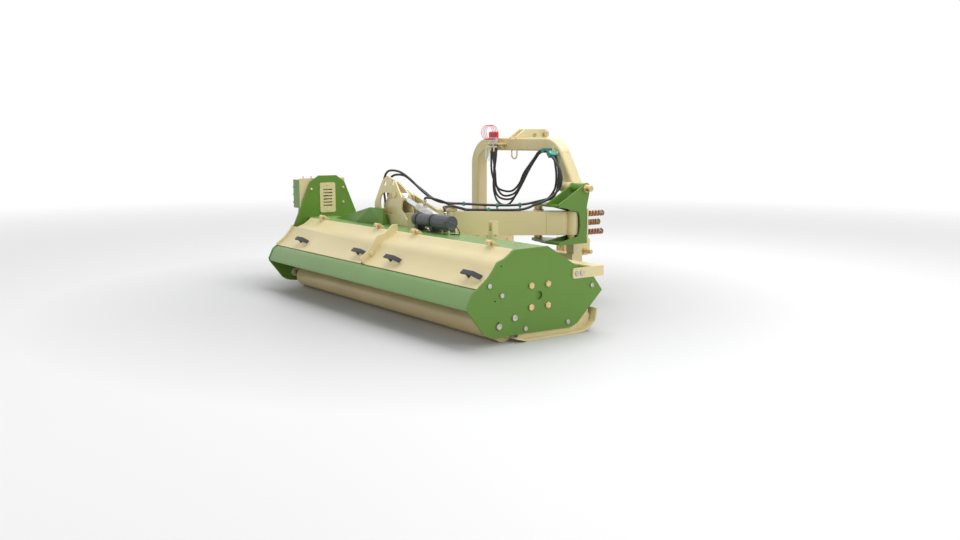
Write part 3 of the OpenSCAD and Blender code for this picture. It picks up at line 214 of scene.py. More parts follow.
def metal(name, colour, rough, streak=(1, 1, 40), dark=0.7):
    """Plated or bare steel: fine drawn streaks, small blotches in the plating."""
    m = Finish(name, metallic=1.0)
    lines = m.noise(120, 3, m.stretched(*streak))
    tone = m.mix(shade(colour, dark), shade(colour, 1.12), m.ramp(m.noise(70, 3), 0.32, 0.68))
    tone = m.mix(tone, shade(colour, 0.8), m.ramp(lines, 0.45, 0.7, 0, 0.35))
    m.bump(lines, 0.12, 0.0003)
    return m.done(tone, m.ramp(lines, 0.3, 0.7, rough - 0.06, rough + 0.1))


def moulded(name, colour, rough, grain=0.12, coat=0.0):
    """Moulded plastic with a fine spark-eroded grain."""
    m = Finish(name, coat=coat)
    tone = m.mix(shade(colour, 0.88), shade(colour, 1.15), m.ramp(m.noise(55, 4), 0.3, 0.7))
    # Paler along edges: a painted highlight.
    tone = m.mix(tone, shade(colour, 1.9), m.ramp(m.edges(0.0012), 0.0, 1.0, 0, 0.35))
    m.bump(m.noise(1500, 2), grain, 0.0003)
    return m.done(tone, m.ramp(m.noise(300, 2), 0.3, 0.7, rough - 0.05, rough + 0.07))


def hose_rubber(name):
    """Wrapped hose cover: the cloth's print runs round it in a spiral, with lighter rubs."""
    m = Finish(name, uv=True)
    colour = srgb(34, 35, 37)
    turned = m.add("Mapping", Vector=m.where, Rotation=(0, 0, 0.9)).outputs["Vector"]
    wave = m.add("TexWave", Vector=turned, Scale=22.0)
    tone = m.mix(shade(colour, 0.75), shade(colour, 1.35), m.ramp(m.noise(9, 3), 0.3, 0.7))
    tone = m.mix(tone, shade(colour, 1.8), m.ramp(m.noise(60, 2), 0.62, 0.8, 0, 0.5))
    m.bump(wave.outputs["Fac"], 0.16, 0.0004)
    m.bump(m.noise(400, 2), 0.10, 0.0002)
    return m.done(tone, m.ramp(m.noise(24, 2), 0.3, 0.7, 0.42, 0.58))


def cast(name, colour, rough=0.55):
    """Sand-cast or rolled steel under a thin dark coat."""
    m = Finish(name, metallic=0.25)
    tone = m.mix(shade(colour, 0.75), shade(colour, 1.25), m.ramp(m.noise(18, 5), 0.3, 0.7))
    # Paler along edges: a painted highlight.
    tone = m.mix(tone, shade(colour, 2.2), m.ramp(m.edges(0.0018), 0.0, 1.0, 0, 0.3))
    m.bump(m.noise(320, 4), 0.25, 0.0006)
    return m.done(tone, m.ramp(m.noise(90, 2), 0.3, 0.7, rough - 0.08, rough + 0.1))


GREEN = srgb(94, 136, 40)
CREAM = srgb(222, 207, 158)


def make_finishes():
    return {
        "green_paint": paint("green_paint", GREEN),
        "light_green_paint": paint("light_green_paint", srgb(116, 154, 84), 0.30),
        "cream_paint": paint("cream_paint", CREAM),
        "dark_steel": cast("dark_steel", srgb(58, 60, 62), 0.45),
        "grey_casting": cast("grey_casting", srgb(74, 77, 80), 0.42),
        "bright_steel": metal("bright_steel", srgb(196, 194, 188), 0.34),
        "zinc_yellow": metal("zinc_yellow", srgb(226, 200, 150), 0.38),
        "brass": metal("brass", srgb(206, 164, 96), 0.36),
        "chrome": metal("chrome", srgb(226, 228, 232), 0.14, (1, 60, 60), 0.92),
        "black_rubber": hose_rubber("hose_rubber"),
        "black_plastic": moulded("black_plastic", srgb(44, 46, 48), 0.45),
        "tube_plastic": moulded("tube_plastic", srgb(78, 82, 86), 0.40),
        "red_plastic": moulded("red_plastic", srgb(205, 30, 48), 0.32, 0.05, 0.2),
        "teal_plastic": moulded("teal_plastic", srgb(24, 138, 122), 0.38, 0.06, 0.1),
        "spring_steel": paint("spring_steel", srgb(176, 128, 84), 0.34),
        "roller_steel": paint("roller_steel", srgb(224, 204, 152), 0.40),
        "belt_rubber": moulded("belt_rubber", srgb(30, 30, 32), 0.6, 0.3),
    }


FINISHES = make_finishes()
NODE_FINISH = {"document_tube": "tube_plastic", "document_cap": "tube_plastic", "roller": "roller_steel",
               "drive_belts": "belt_rubber", "tilt_barrel": "bright_steel", "hinge_bolts": "brass"}
# Faces with long slots, which dissolve badly
KEEPS_TRIANGLES = {"arm", "swivel"}


def dress_nodes():
    """Every CAD node gets a finish, its slot's unless NODE_FINISH names another, and softly rounded edges."""
    slots = {part["node"]: part["material_slot"] for part in frame["record"]["subparts"]}
    for name, node in NODES.items():
        finish = FINISHES[NODE_FINISH.get(name, slots[name])]
        node.data.materials.clear()
        node.data.materials.append(finish)
        node.modifiers.new("weld", "WELD").merge_threshold = 0.00001
        if name not in KEEPS_TRIANGLES:
            flats = node.modifiers.new("flats", "DECIMATE")
            flats.decimate_type, flats.angle_limit = "DISSOLVE", math.radians(0.6)
        bevel = node.modifiers.new("bevel", "BEVEL")
        bevel.width, bevel.segments = 0.0008, 2
        bevel.limit_method, bevel.angle_limit = "ANGLE", math.radians(38)
        bevel.use_clamp_overlap = False
        bevel.harden_normals = False
        node.modifiers.new("normals", "WEIGHTED_NORMAL").keep_sharp = False


# Mesh building

def smooth(points, steps):
    """The same curve through the points as the hoses have in part.scad."""
    p = [Vector(q) for q in points]
    line = []
    for i in range(len(p) - 1):
        a, b, c, d = p[max(i - 1, 0)], p[i], p[i + 1], p[min(i + 2, len(p) - 1)]
        for j in range(steps):
            t = j / steps
            square = 2 * a - 5 * b + 4 * c - d
            cube = 3 * b - a - 3 * c + d
            line.append((2 * b + (c - a) * t + square * t ** 2 + cube * t ** 3) / 2)
    return line + [p[-1]]


def spoke(k, sides, side, up):
    """The unit vector k steps round from side towards up."""
    turn = 2 * math.pi * k / sides
    return math.cos(turn) * side + math.sin(turn) * up


def square_to(axis):
    """Two unit vectors square to an axis and to each other."""
    side = axis.orthogonal().normalized()
    return side, axis.cross(side)


def rings_along(line, radius, sides, closed=False):
    """Rings of points round a line, turned as little as possible from one to the next.

    radius is a number, or a function of the share of the line that lies behind the ring.
    """
    n = len(line)
    ahead = []
    for i in range(n):
        after = line[(i + 1) % n if closed else min(i + 1, n - 1)]
        before = line[(i - 1) % n if closed else max(i - 1, 0)]
        ahead.append((after - before).normalized())
    side = ahead[0].orthogonal().normalized()
    rings = []
    for i in range(n):
        side = (side - ahead[i] * side.dot(ahead[i])).normalized()
        up = ahead[i].cross(side)
        r = radius(i / (n - 1)) if callable(radius) else radius
        rings.append([line[i] + r * spoke(k, sides, side, up) for k in range(sides)])
    return rings


class Piece:
    """Collects closed forms, in millimetres on the machine's axes, into one object."""

    def __init__(self, name, *finishes):
        self.name, self.finishes = name, finishes
        self.mesh = bmesh.new()
        self.uv = self.mesh.loops.layers.uv.new("UVMap")

    def skin(self, rings, finish=0, closed=False):
        """Joins rings into a tube, closed end to end or capped.

        UV: the share round it, and the length along it in decimetres.
        """
        rows = [[self.mesh.verts.new(at(*p)) for p in ring] for ring in rings]
        sides, count = len(rows[0]), len(rows)
        length = [0.0]
        for i in range(count):
            a, b = rings[i], rings[(i + 1) % count]
            length.append(length[-1] + sum(((b[k] - a[k]).length for k in range(sides)), 0.0) / sides / 100)
        for i in range(count if closed else count - 1):
            for k in range(sides):
                j, m = (i + 1) % count, (k + 1) % sides
                face = self.mesh.faces.new([rows[i][k], rows[i][m], rows[j][m], rows[j][k]])
                face.material_index = finish
                for loop, u, v in zip(face.loops, (k, k + 1, k + 1, k), (i, i, i + 1, i + 1)):
                    loop[self.uv].uv = (u / sides, length[v])
        if not closed:
            for row in (list(reversed(rows[0])), rows[-1]):
                self.mesh.faces.new(row).material_index = finish
        return self

    def tube(self, points, radius, finish=0, steps=4, sides=12, closed=False):
        line = smooth(points, steps) if steps > 1 else [Vector(p) for p in points]
        return self.skin(rings_along(line, radius, sides, closed), finish, closed)

    def lathe(self, start, axis, profile, finish=0, sides=28):
        """profile: (distance along the axis, radius), closed at both ends."""
        line = [Vector(start) + Vector(axis).normalized() * d for d, _ in profile]
        side, up = square_to(Vector(axis).normalized())
        return self.skin([[c + r * spoke(k, sides, side, up) for k in range(sides)]
                          for c, (_, r) in zip(line, profile)], finish)

    def hexagon(self, start, axis, across, height, finish=0):
        """A nut or bolt head with its corners turned off."""
        r = across / math.sqrt(3)
        return self.lathe(start, axis, [(0, r), (height * 0.85, r), (height, r * 0.86)], finish, 6)

    def ring(self, centre, axis, radius, wire, finish=0, steps=40, sides=8):
        side, up = square_to(Vector(axis).normalized())
        line = [Vector(centre) + radius * spoke(k, steps, side, up) for k in range(steps)]
        return self.skin(rings_along(line, wire, sides, True), finish, True)

    def prism(self, outline, across, finish=0):
        """A flat plate: outline is a list of points, and across the vector of its thickness."""
        across = Vector(across)
        return self.skin([[Vector(p) for p in outline], [Vector(p) + across for p in outline]], finish)

    def block(self, low, high, finish=0):
        (x0, y0, z0), (x1, y1, z1) = low, high
        return self.prism([(x0, y0, z0), (x1, y0, z0), (x1, y1, z0), (x0, y1, z0)], (0, 0, z1 - z0), finish)

    def weld(self, points, size=3.2, finish=0):
        """A weld bead: rippled, and tapered at both ends."""
        line = []
        for a, b in zip(points, points[1:]):
            a, b = Vector(a), Vector(b)
            n = max(2, int((b - a).length / 3))
            line += [a.lerp(b, i / n) for i in range(n)]
        line.append(Vector(points[-1]))
        last = len(line) - 1

        def bead(s):
            taper = 0.35 + 0.65 * min(1, 14 * min(s, 1 - s))
            return size * taper * (1 + 0.10 * math.sin(s * last * 2.1))

        return self.skin(rings_along(line, bead, 8), finish)

    def done(self, body=None, bevel=0.0, slot=None):
        bmesh.ops.recalc_face_normals(self.mesh, faces=self.mesh.faces)
        data = bpy.data.meshes.new(self.name)
        self.mesh.to_mesh(data)
        self.mesh.free()
        data.shade_smooth()
        data.set_sharp_from_angle(angle=math.radians(34))
        for finish in self.finishes:
            data.materials.append(FINISHES[finish])
        piece = bpy.data.objects.new(self.name, data)
        bpy.context.scene.collection.objects.link(piece)
        if bevel:
            modifier = piece.modifiers.new("bevel", "BEVEL")
            modifier.width, modifier.segments = bevel / 1000, 2
            modifier.limit_method, modifier.angle_limit = "ANGLE", math.radians(38)
        if body:
            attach(piece, body)
        return piece


# Hoses. Each runs on one line from its coupling to its port, cut where it crosses a joint.

LOOPS = [
    (25, [(-471, 871.6), (-471, 810), (-464, 700), (-411, 614), (-339, 590), (-253, 594), (-184, 640),
          (-143, 702), (-90, 755), (-24, 812), (40, 841), (100, 848), (152, 822), (178, 745), (182, 680),
          (174, 630)]),
    (39, [(-435, 871.6), (-435, 810), (-412, 712), (-397, 620), (-338, 565), (-253, 567), (-183, 602),
          (-116, 694), (-50, 773), (30, 834), (100, 848), (148, 818), (172, 745), (178, 680), (168, 630)]),
    (53, [(-400, 871.6), (-400, 810), (-404, 640), (-367, 560), (-281, 540), (-197, 560), (-129, 634),
          (-63, 722), (2, 795), (50, 838), (100, 848), (160, 818), (214, 745), (232, 680), (214, 630)]),
    (67, [(-365, 871.6), (-365, 810), (-392, 640), (-367, 545), (-309, 508), (-238, 512), (-183, 554),
          (-102, 652), (-24, 752), (40, 832), (100, 848), (165, 815), (236, 745), (256, 680), (236, 630)]),
]
UPPER_ARM = [(150, 14, 572), (200, 14, 560), (270, 12, 545), (368, 10, 538), (500, 12, 540.8),
             (640, 10, 548)]
LOWER_ARM = [(170, -40, 562), (210, -39, 548), (260, -37, 526), (310, -34, ARM_TOP + 9.5),
             (430, -24, ARM_TOP + 7.0), (520, -10, ARM_TOP + 6.9), (600, -4, ARM_TOP + 6.9)]
PAIR_GAP = 16
HOSE_YS = [HITCH_Y - drop for drop, _ in LOOPS]
# From the frame's foot to the arm: the points between hitch and bracket, then those between bracket and arm
FRONT_CROSSINGS = [
    ([(176, 866, 600), (196, 830, 578)], [(226, 780, 571)]),
    ([(164, 848, 598), (180, 808, 576)], [(208, 768, 570)]),
    ([(214, 832, 604), (238, 792, 586)], [(262, 745, 574)]),
    ([(240, 815, 612), (262, 775, 600)], [(281, 735, 586)]),
]
# From the arm's end over the swivel
REAR_CROSSINGS = [
    ([(-60, 305, 549), (-68, 270, 552)], []),
    ([(-76, 313, 549), (-85, 275, 553)], []),
    ([(-38, 340, 522), (-36, 300, 532), (-22, 250, 545)], [(-8, 190, 568), (-6, 120, 588)]),
    ([(-18, 330, 520), (-12, 290, 530), (10, 240, 540)], [(60, 170, 545), (125, 105, 548)]),
]
HEAD_ENDS = [
    [(-68, 236, 558), (-80, 198, 568), (-108, 163, 592), (-172, 142, 634), (-237, 128, 680),
     (-337, 120, 722), (-440, 120, 731), (-505, 124, 716), (-545, 128, 670), (-552, 130, 610),
     (-541, 131, 550), (-541, 131, 500.3)],
    [(-86, 226, 560), (-97, 200, 572), (-122, 180, 592), (-168, 170, 618), (-245, 160, 655),
     (-330, 146, 700), (-420, 142, 706), (-482, 142, 690), (-515, 142, 650), (-524, 142, 600),
     (-520, 142, 550), (-520, 142, 500.3)],
    [(-11, 78, 593), (-11, 71, 580)],
    [(176, 76, 545), (183, 71, 524)],
]
STEPS = 6


def lay_hose(i):
    drop, loop = LOOPS[i]
    # Loops 1 and 2 go on as the upper pair on the arm, 3 and 4 as the lower pair
    on_arm, gap = [(UPPER_ARM, 0), (UPPER_ARM, PAIR_GAP), (LOWER_ARM, PAIR_GAP), (LOWER_ARM, 0)][i]
    arm_line = [arm_point(t, off + gap, z) for t, off, z in on_arm]
    upper = i < 2
    # The CAD model's hoses on the head start at the same points
    crossed = (4, 5, 0, 0)[i]
    parts = [
        ("loop", ["hitch"], [(FRONT_PIVOT[0] + x - 345, HITCH_Y - drop, z) for x, z in loop]),
        ("float", ["hitch", "bracket"], FRONT_CROSSINGS[i][0]),
        ("swing", ["bracket", "arm"], FRONT_CROSSINGS[i][1] + arm_line[:1]),
        ("arm", ["arm"], arm_line[1:]),
        ("turn", ["arm", "swivel"], REAR_CROSSINGS[i][0]),
        ("tilt", ["swivel", "head"], REAR_CROSSINGS[i][1] + HEAD_ENDS[i][:crossed]),
        ("end", ["head"] if upper else ["head", "tilt_cylinder_barrel"], HEAD_ENDS[i][crossed:]),
    ]
    points = [p for _, _, section in parts for p in section]
    line = smooth(points, STEPS)
    rings = rings_along(line, HOSE_R, 20)
    start = 0
    for name, bodies, section in parts:
        end = start + (len(section) - (start == 0)) * STEPS
        hose = Piece(f"hose_{i + 1}_{name}", "black_rubber").skin(rings[start:end + 1])
        piece = hose.done(slot="black_rubber")
        if len(bodies) == 1:
            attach(piece, bodies[0])
        else:
            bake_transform(piece)
        start = end
    return [bpy.data.objects[f"hose_{i + 1}_{name}"] for name in ("loop", "arm", "end")]


def make_hoses():
    loop, arm, end = [lay_hose(i) for i in range(4)][0]
    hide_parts("frame_hoses")
    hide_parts("arm_hoses")
    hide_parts("arch_hoses")


# Hose ends, couplings and clamps

def crimped_end(piece, start, axis, finish, nut, barrel):
    """A pressed ferrule with its nut, from the fitting's face down onto the hose."""
    piece.hexagon(start, axis, 22, 12, nut)
    profile = [(12, 7.6), (13, 9.4), (15, 9.8)]
    for k in range(4):
        d = 17 + k * (barrel - 6) / 4
        profile += [(d, 9.8), (d + 1.2, 8.9), (d + 2.6, 8.9), (d + 3.8, 9.8)]
    piece.lathe(start, axis, profile + [(12 + barrel, 9.2), (13 + barrel, 7.2)], finish, 24)


def make_couplings():
    plate_y = HITCH_Y - 75
    piece = Piece("coupling_holder", "cream_paint", "bright_steel", "zinc_yellow", "dark_steel")
    xs = [FRONT_PIVOT[0] - d for d in (816, 780, 745, 710)]
    x0, x1 = FRONT_PIVOT[0] - 845, FRONT_PIVOT[0] - 685
    piece.block((x0, plate_y, 880), (x1, HITCH_Y, 888), 0)
    for x in (x0 + 30, x1 - 36):
        piece.prism([(x, HITCH_Y - 60, 880), (x, HITCH_Y, 880), (x, HITCH_Y, 850)], (6, 0, 0), 0)
    piece.weld([(x0, HITCH_Y, 889), (x1, HITCH_Y, 889)], 3, 0)
    collar = [(0, 11), (2, 13.4), (10, 13.4), (11, 12.2), (14, 12.2), (15, 13.4), (24, 13.4), (26, 12.4),
              (29, 12.4)]
    for i, (x, y) in enumerate(zip(xs, HOSE_YS)):
        piece.hexagon((x, y, 888), (0, 0, 1), 26, 9, 1)
        piece.lathe((x, y, 896), (0, 0, 1), collar, 1)
        piece.hexagon((x, y, 880), (0, 0, -1), 24, 8.2, 3 if i % 2 else 1)
        crimped_end(piece, (x, y, 872), (0, 0, -1), 2 if i % 2 == 0 else 3, 1, 24)
    holder = piece.done("hitch", 0.6, "cream_paint")
    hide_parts("couplings")
    caps = Piece("dust_caps", "red_plastic")
    for x, y in zip(xs, HOSE_YS):
        profile = [(0, 14.4), (1, 16), (3, 16)]
        for k in range(5):
            profile += [(5 + 4.4 * k, 16), (5.8 + 4.4 * k, 15.2), (7.4 + 4.4 * k, 15.2), (8.2 + 4.4 * k, 16)]
        caps.lathe((x, y, 924), (0, 0, 1), profile + [(30, 16), (33, 14.6), (34, 11)], 0, 32)
        caps.ring((x, y, 958), (0, 0, 1), 8, 2.2, 0, 28)
        turns = [math.radians(d) for d in range(-2, 300, 7)]
        caps.tube([(x, y - 34 + 45 * math.cos(a), 955 + 45 * math.sin(a)) for a in turns], 1.6, 0, 1, 8)
        caps.ring((x, y, 919), (0, 0, 1), 14.4, 1.8, 0, 32)
    caps.done("hitch", 0.0, "red_plastic")
    # Stop-valve levers beside the first two couplings
    levers = Piece("valve_levers", "chrome", "bright_steel")
    for x, y, foot in ((xs[0] - 45, HOSE_YS[0] - 6, 781), (xs[1] - 10, HOSE_YS[1] - 22, 775)):
        bent = [(x + 32, y + 4, 868), (x + 14, y, 866), (x + 4, y - 2, 852), (x, y - 3, foot)]
        levers.tube(bent, 3.2, 0, 5, 10)
        levers.lathe((x + 30, y + 4, 868), (1, 0.1, 0), [(0, 6), (2, 7), (14, 7), (16, 5.5)], 1, 20)
    levers.done("hitch", 0.0, "bright_steel")


def clamp(name, body, centre, along, across, width, height, depth):
    """A two-piece moulded hose clamp with its bolts: width across the hoses, height, depth along them."""
    along, across = Vector(along).normalized(), Vector(across).normalized()
    up = along.cross(across).normalized()
    if up.z < 0:
        up = -up
    centre = Vector(centre)
    piece = Piece(name, "teal_plastic", "bright_steel")
    for s in (-1, 1):
        low, high = s * 0.4, s * height / 2
        corner = height * 0.16
        half = width / 2
        outline = [(-half, low), (half, low), (half, high - s * corner), (half - corner, high),
                   (-half + corner, high), (-half, high - s * corner)]
        base = centre - along * depth / 2
        piece.prism([base + across * a + up * b for a, b in outline], along * depth, 0)
    for s in (-1, 1):
        spot = centre + across * s * (width / 2 - 5.5) + up * height / 2
        piece.hexagon(spot, up, 7, 3.4, 1)
        piece.lathe(spot, up, [(-0.2, 5), (0.8, 5)], 1, 20)
    return piece.done(body, 0.7)


def make_clamps():
    middle = (min(HOSE_YS) + max(HOSE_YS)) / 2
    x = FRONT_PIVOT[0] - 245
    clamp("bend_clamp", "hitch", (x, middle - 6, 848), (1, 0, 0), (0, 1, 0), 66, 28, 20)
    clamp("bend_clamp_2", "hitch", (x + 48, middle, 826), (0.62, 0, -0.78), (0, 1, 0), 64, 32, 30)
    foot = Piece("bend_clamp_foot", "cream_paint", "bright_steel")
    foot.block((x - 12, max(HOSE_YS) + 10, 832), (x + 12, HITCH_Y + 1, 864), 0)
    foot.done("hitch", 0.8, "cream_paint")
    up = (0, 0, 1)
    for i, (t, off, z) in enumerate([(300, 18, 541.5), (430, 18, 539)]):
        clamp(f"arm_clamp_{i + 1}", "arm", arm_point(t, off, z), (*ARM_DIR, 0), ARM_ACROSS, 42, 20, 16)
        post = Piece(f"arm_clamp_post_{i + 1}", "cream_paint")
        post.lathe(arm_point(t, off, ARM_TOP - 1), up, [(0, 6), (z - ARM_TOP - 8, 6)])
        post.done("arm", 0.0, "cream_paint")
    clamp("arm_clamp_3", "arm", arm_point(480, -8, ARM_TOP + 8), (*ARM_DIR, 0), ARM_ACROSS, 42, 18, 16)
    clamp("arm_end_clamp", "arm", arm_point(622, 18, 547), (*ARM_DIR, 0.05), ARM_ACROSS, 42, 20, 16)
    fittings = Piece("cylinder_fittings", "zinc_yellow", "bright_steel", "dark_steel")
    lean = Vector((0.273, 0, 0.962))
    for x, z in ((-22, 523.5), (172, 468)):
        base = Vector((x, 71, z)) + lean * 39
        fittings.hexagon(base, lean, 20, 9, 0)
        fittings.lathe(base + lean * 8, lean, [(0, 6.5), (4, 6.5), (5, 8.4), (14, 8.4), (15, 6.8)], 1, 20)
    fittings.done("tilt_cylinder_barrel", 0.3, "zinc_yellow")
    valve = Piece("valve_fittings", "zinc_yellow", "bright_steel")
    for x, y in ((-520, 142), (-541, 131)):
        valve.hexagon((x, y, 500), (0, 0, 1), 17, 10, 0)
        valve.lathe((x, y, 509), (0, 0, 1), [(0, 7.4), (2, 8.6), (22, 8.6), (24, 7.2)], 1, 20)
    valve.done("head", 0.3, "zinc_yellow")


# Springs

def make_springs():
    """Three float springs, one wire each, which swing with their rods."""
    wire, coil_r, turns, per_turn = 5.4, 12.6, 6, 32
    count = turns * per_turn

    def taper(s):
        return wire * min(1, 0.55 + 60 * min(s, 1 - s))

    start = HITCH_Y + 20
    first = None
    for i, (z, length) in enumerate([(487, 153), (436, 122), (380, 148)]):
        free = length - 2 * wire - 0.4
        line = []
        for k in range(count + 1):
            turn = 2 * math.pi * k / per_turn
            y = start + wire + 0.2 + free * k / count
            line.append(Vector((FRONT_PIVOT[0] + coil_r * math.cos(turn), y, z + coil_r * math.sin(turn))))
        coil = Piece(f"float_spring_{i + 1}", "spring_steel").skin(rings_along(line, taper, 12))
        piece = coil.done("bracket", slot="spring_steel")
        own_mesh(piece)
        first = first or piece
    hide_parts("float_springs")


# Small pieces of the head

DECK_TOP = 427
STAND = (575, 100)
FLOAT_PIN = (FRONT_PIVOT[0] + BRACKET_HALF, FRONT_PIVOT[1] + 51, FLOAT_Z)
HINGE = (-150, 442)
HINGE_XS = (-816, -152, 229, 877)
COVER_SLOPE = [(-241, 375), (-256, 351), (-285, 316), (-320, 287), (-350, 266)]
TUBE = {"y": -10, "z": 484, "start": 28, "end": 250, "r": 34, "cap_end": 366}


def make_document_tube():
    """Ribbed rims and a turned-in end on the tube's cap, straps over its feet, and the cap's bail."""
    y, z, r, cap = TUBE["y"], TUBE["z"], TUBE["r"], TUBE["cap_end"]
    x = TUBE["end"] - 26
    trim = Piece("tube_rims", "tube_plastic", "black_plastic")
    over = 4.6
    for at_x in (x + 1, x + 8, cap - 7):
        low, high = r + over - 0.9, r + over + 0.6
        trim.lathe((at_x - 1, y, z), (1, 0, 0), [(-1.5, low), (-0.6, high), (3.4, high), (4.3, low)], 0, 48)
    end = [(0, r + 3.2), (1.8, r + 2.6), (1.8, r - 3), (0.8, r - 4), (0.8, 9), (1.6, 8), (1.6, 2)]
    trim.lathe((cap - 0.5, y, z), (1, 0, 0), end, 0, 48)
    for turn in range(12):
        a = math.radians(30 * turn)
        radial = Vector((0, math.cos(a), math.sin(a)))
        side = Vector((0, -math.sin(a), math.cos(a)))
        base = Vector((x + 16, y, z)) + radial * (r + 3.4)
        rib = [base - side * 2.4, base + side * 2.4, base + side * 1.4 + radial * 1.8,
               base - side * 1.4 + radial * 1.8]
        trim.prism(rib, (cap - x - 30, 0, 0), 0)
    trim.done("head", 0.0, "black_plastic")
    straps = Piece("tube_straps", "black_plastic", "bright_steel")
    for foot in (42, 180):
        for degrees in (range(-36, 91, 9), range(90, 217, 9)):
            turns = [math.radians(d) for d in degrees]
            inner = r + 0.4
            outer = inner + 3.4
            arc = [(y + inner * math.cos(a), z + inner * math.sin(a)) for a in turns]
            arc += [(y + outer * math.cos(a), z + outer * math.sin(a)) for a in reversed(turns)]
            straps.prism([(foot + 14, b, c) for b, c in arc], (16, 0, 0), 0)
        for bolt_y in (y - 29, y + 29):
            straps.hexagon((foot + 22, bolt_y, DECK_TOP + 8), (0, 0, 1), 10, 5, 1)
    straps.done("head", 0.0, "black_plastic")
    bail = Piece("tube_bail", "black_plastic", "bright_steel")
    bow = [(cap - 14, y - r - 3, z + 6), (cap + 12, y - r - 5, z + 10), (cap + 46, y - 24, z + 2),
           (cap + 66, y - 4, z - 26), (cap + 62, y + 4, z - 52), (cap + 44, y + 2, DECK_TOP + 3.5),
           (cap + 14, y - 2, DECK_TOP + 3.2)]
    bail.tube(bow, 2.6, 0, 6, 10)
    bail.block((cap + 4, y - 12, DECK_TOP), (cap + 26, y + 8, DECK_TOP + 5), 0)
    bail.hexagon((cap + 15, y - 2, DECK_TOP + 5), (0, 0, 1), 9, 4, 1)
    bail.done("head", 0.4, "black_plastic")


def make_head_hardware():
    """Bolts and washers on the belt drive's tower, and the lip at the left cover's far end."""
    plate_x = -1045
    bolts = Piece("tower_bolts", "zinc_yellow", "bright_steel")
    for y, z in ((-108, 600), (116, 606), (116, 512)):
        bolts.lathe((plate_x - 0.2, y, z), (1, 0, 0), [(0, 9), (1.8, 9)], 1, 24)
        bolts.hexagon((plate_x + 1.4, y, z), (1, 0, 0), 13, 6, 0)
    bolts.done("head", 0.3, "zinc_yellow")
    lips = Piece("cover_lips", "cream_paint", "zinc_yellow")
    lip_x, thickness = -1035, 4
    low = [(y - 1.2, z + 1.0) for y, z in COVER_SLOPE]
    outline = [(lip_x, y, z) for y, z in low] + [(lip_x, y - 10, z + 9) for y, z in reversed(low)]
    lips.prism(outline, (thickness, 0, 0), 0)
    lips.done("cover_left", 0.6, "cream_paint")


def make_arm_hardware():
    """The lock block in the stand's window, a boss round the float pin's near end, and a hose hook."""
    lock = Piece("stand_lock", "brass")
    x, y = STAND
    lock.block((x - 8.6, y - 17.6, 460), (x + 8.6, y + 17.6, 488), 0)
    lock.done("head", 1.0, "zinc_yellow")
    boss_x, boss_y, boss_z = FLOAT_PIN
    boss = Piece("float_pin_boss", "green_paint")
    boss.lathe((boss_x, boss_y, boss_z), (1, 0, 0), [(0, 31), (1.5, 31), (1.9, 25)], 0, 40)
    boss.done("bracket", 0.0, "green_paint")
    hook = Piece("hose_hook", "cream_paint")
    hook_x, hook_y = FRONT_PIVOT[0] - 628, HITCH_Y + 14
    turns = [math.radians(d) for d in range(180, 361, 15)]
    bow = [(hook_x + 26 * math.cos(a), hook_y, 816 + 24 * math.sin(a)) for a in turns]
    hook.tube([(hook_x - 26, hook_y, 845)] + bow + [(hook_x + 26, hook_y, 845)], 4.5, 0, 3, 12)
    hook.done("hitch", 0.0, "cream_paint")


def make_skid_webs():
    """The gusset that closes each shoe's upturned front against the side plate."""
    webs = Piece("skid_webs", "cream_paint")
    bend_y, bend_r = 232, 150
    curve = [(bend_y + (bend_r - 7) * math.sin(a), 8 + (bend_r - 7) * (1 - math.cos(a)))
             for a in [math.radians(d) for d in range(0, 45, 6)]]
    outline = [(196, 40), (196, 9)] + curve + [(338, 70), (300, 118), (262, 84)]
    for x in (1030, -1036):
        webs.prism([(x, y, z) for y, z in outline], (6, 0, 0), 0)
        side = x + 6 if x > 0 else x
        webs.weld([(side, y, z + 1) for y, z in curve], 2.4, 0)
    webs.done("head", 0.6, "cream_paint")


def make_hinge_parts():
    """Cheeks that carry a cover's hinge, and a washer each side."""
    cheeks = Piece("hinge_cheeks", "cream_paint")
    y, z = HINGE
    outline = [(y - 13, z - 6), (y - 11, z + 8), (y - 3, z + 14), (y + 8, z + 12), (y + 30, z - 2),
               (y + 44, z - 15), (y + 8, z - 15)]
    for x in HINGE_XS:
        for start in (x - 20.6, x + 9.6):
            cheeks.prism([(start, a, b) for a, b in outline], (4.8, 0, 0), 0)
    cheeks.done("head", 0.7, "cream_paint")
    washers = Piece("hinge_washers", "bright_steel", "zinc_yellow")
    profile = [(0, 5.4), (0.6, 6.6), (3.2, 6.6), (4.4, 5.2)]
    for x in HINGE_XS:
        for side, start in ((1, x + 23), (-1, x - 22)):
            washers.lathe((start, *HINGE), (side, 0, 0), profile, 1, 20)
    washers.done("head", 0.0, "zinc_yellow")


# Floor and light

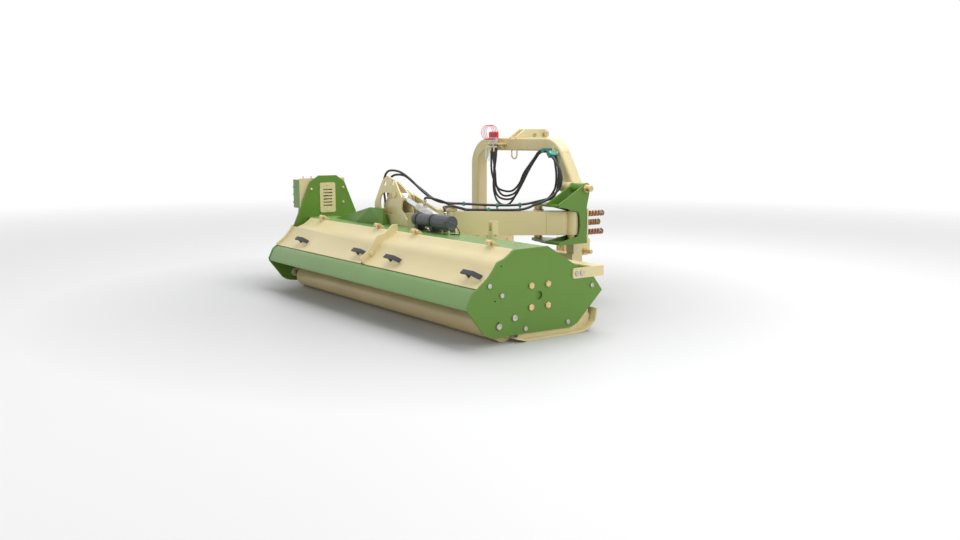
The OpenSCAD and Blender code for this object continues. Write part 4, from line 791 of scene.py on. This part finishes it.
def make_stage():
    floor = bpy.data.meshes.new("floor")
    reach = 60
    corners = [(-reach, -reach, 0), (reach, -reach, 0), (reach, reach, 0), (-reach, reach, 0)]
    floor.from_pydata(corners, [], [(0, 1, 2, 3)])
    plane = bpy.data.objects.new("floor", floor)
    plane.location.z = -0.0005
    bpy.context.scene.collection.objects.link(plane)
    m = Finish("floor", specular=0.3)
    away = m.tree.nodes.new("ShaderNodeVectorMath")
    away.operation = "LENGTH"
    m.put(m.where, away.inputs[0])
    far = m.ramp(away.outputs["Value"], 2.2, 9.0)
    # The floor is painted darker near the machine, lightening out to 2.4 m: a painted shadow.
    painted_shadow_fade = m.ramp(away.outputs["Value"], 0.8, 2.4)
    near = m.mix(srgb(186, 186, 187), srgb(236, 236, 237), painted_shadow_fade)
    m.done(m.mix(near, srgb(250, 250, 250), far), 0.5)
    glow = m.add("Emission", Color=(1, 1, 1, 1), Strength=1.0)
    blend = m.add("MixShader")
    m.put(far, blend.inputs[0])
    m.put(m.surface.outputs[0], blend.inputs[1])
    m.put(glow.outputs[0], blend.inputs[2])
    m.put(blend.outputs[0], m.tree.nodes["Material Output"].inputs["Surface"])
    floor.materials.append(m.material)


def area_light(name, place, target, size, power, colour=(1, 1, 1)):
    data = bpy.data.lights.new(name, "AREA")
    data.shape, data.size, data.size_y, data.energy, data.color = "RECTANGLE", size[0], size[1], power, colour
    light = bpy.data.objects.new(name, data)
    light.location = place
    light.rotation_euler = (Vector(target) - Vector(place)).to_track_quat("-Z", "Y").to_euler()
    bpy.context.scene.collection.objects.link(light)


def make_light():
    world = bpy.data.worlds.new("world")
    bpy.context.scene.world = world
    world.use_nodes = True
    tree = world.node_tree
    background = tree.nodes["Background"]
    background.inputs["Color"].default_value = (1, 1, 1, 1)
    path = tree.nodes.new("ShaderNodeLightPath")
    seen = tree.nodes.new("ShaderNodeMath")
    seen.operation = "MAXIMUM"
    tree.links.new(path.outputs["Is Camera Ray"], seen.inputs[0])
    tree.links.new(path.outputs["Is Glossy Ray"], seen.inputs[1])
    strength = tree.nodes.new("ShaderNodeMapRange")
    strength.inputs["To Min"].default_value = 0.44
    strength.inputs["To Max"].default_value = 1.0
    tree.links.new(seen.outputs[0], strength.inputs["Value"])
    tree.links.new(strength.outputs["Result"], background.inputs["Strength"])
    area_light("top", (-0.2, 1.5, 4.6), (0, -0.2, 0.2), (4.2, 3.6), 210)
    area_light("side", (4.6, 0.4, 2.6), (0, 0, 0.4), (2.6, 2.4), 56)
    area_light("fill", (1.2, -4.8, 3.6), (0, 0, 0.3), (3.2, 2.4), 50)
    bpy.context.scene.view_settings.view_transform = "Standard"


make_camera()
make_hoses()
make_couplings()
make_clamps()
make_springs()
make_document_tube()
make_head_hardware()
make_arm_hardware()
make_hinge_parts()
make_skid_webs()
dress_nodes()
make_stage()
make_light()
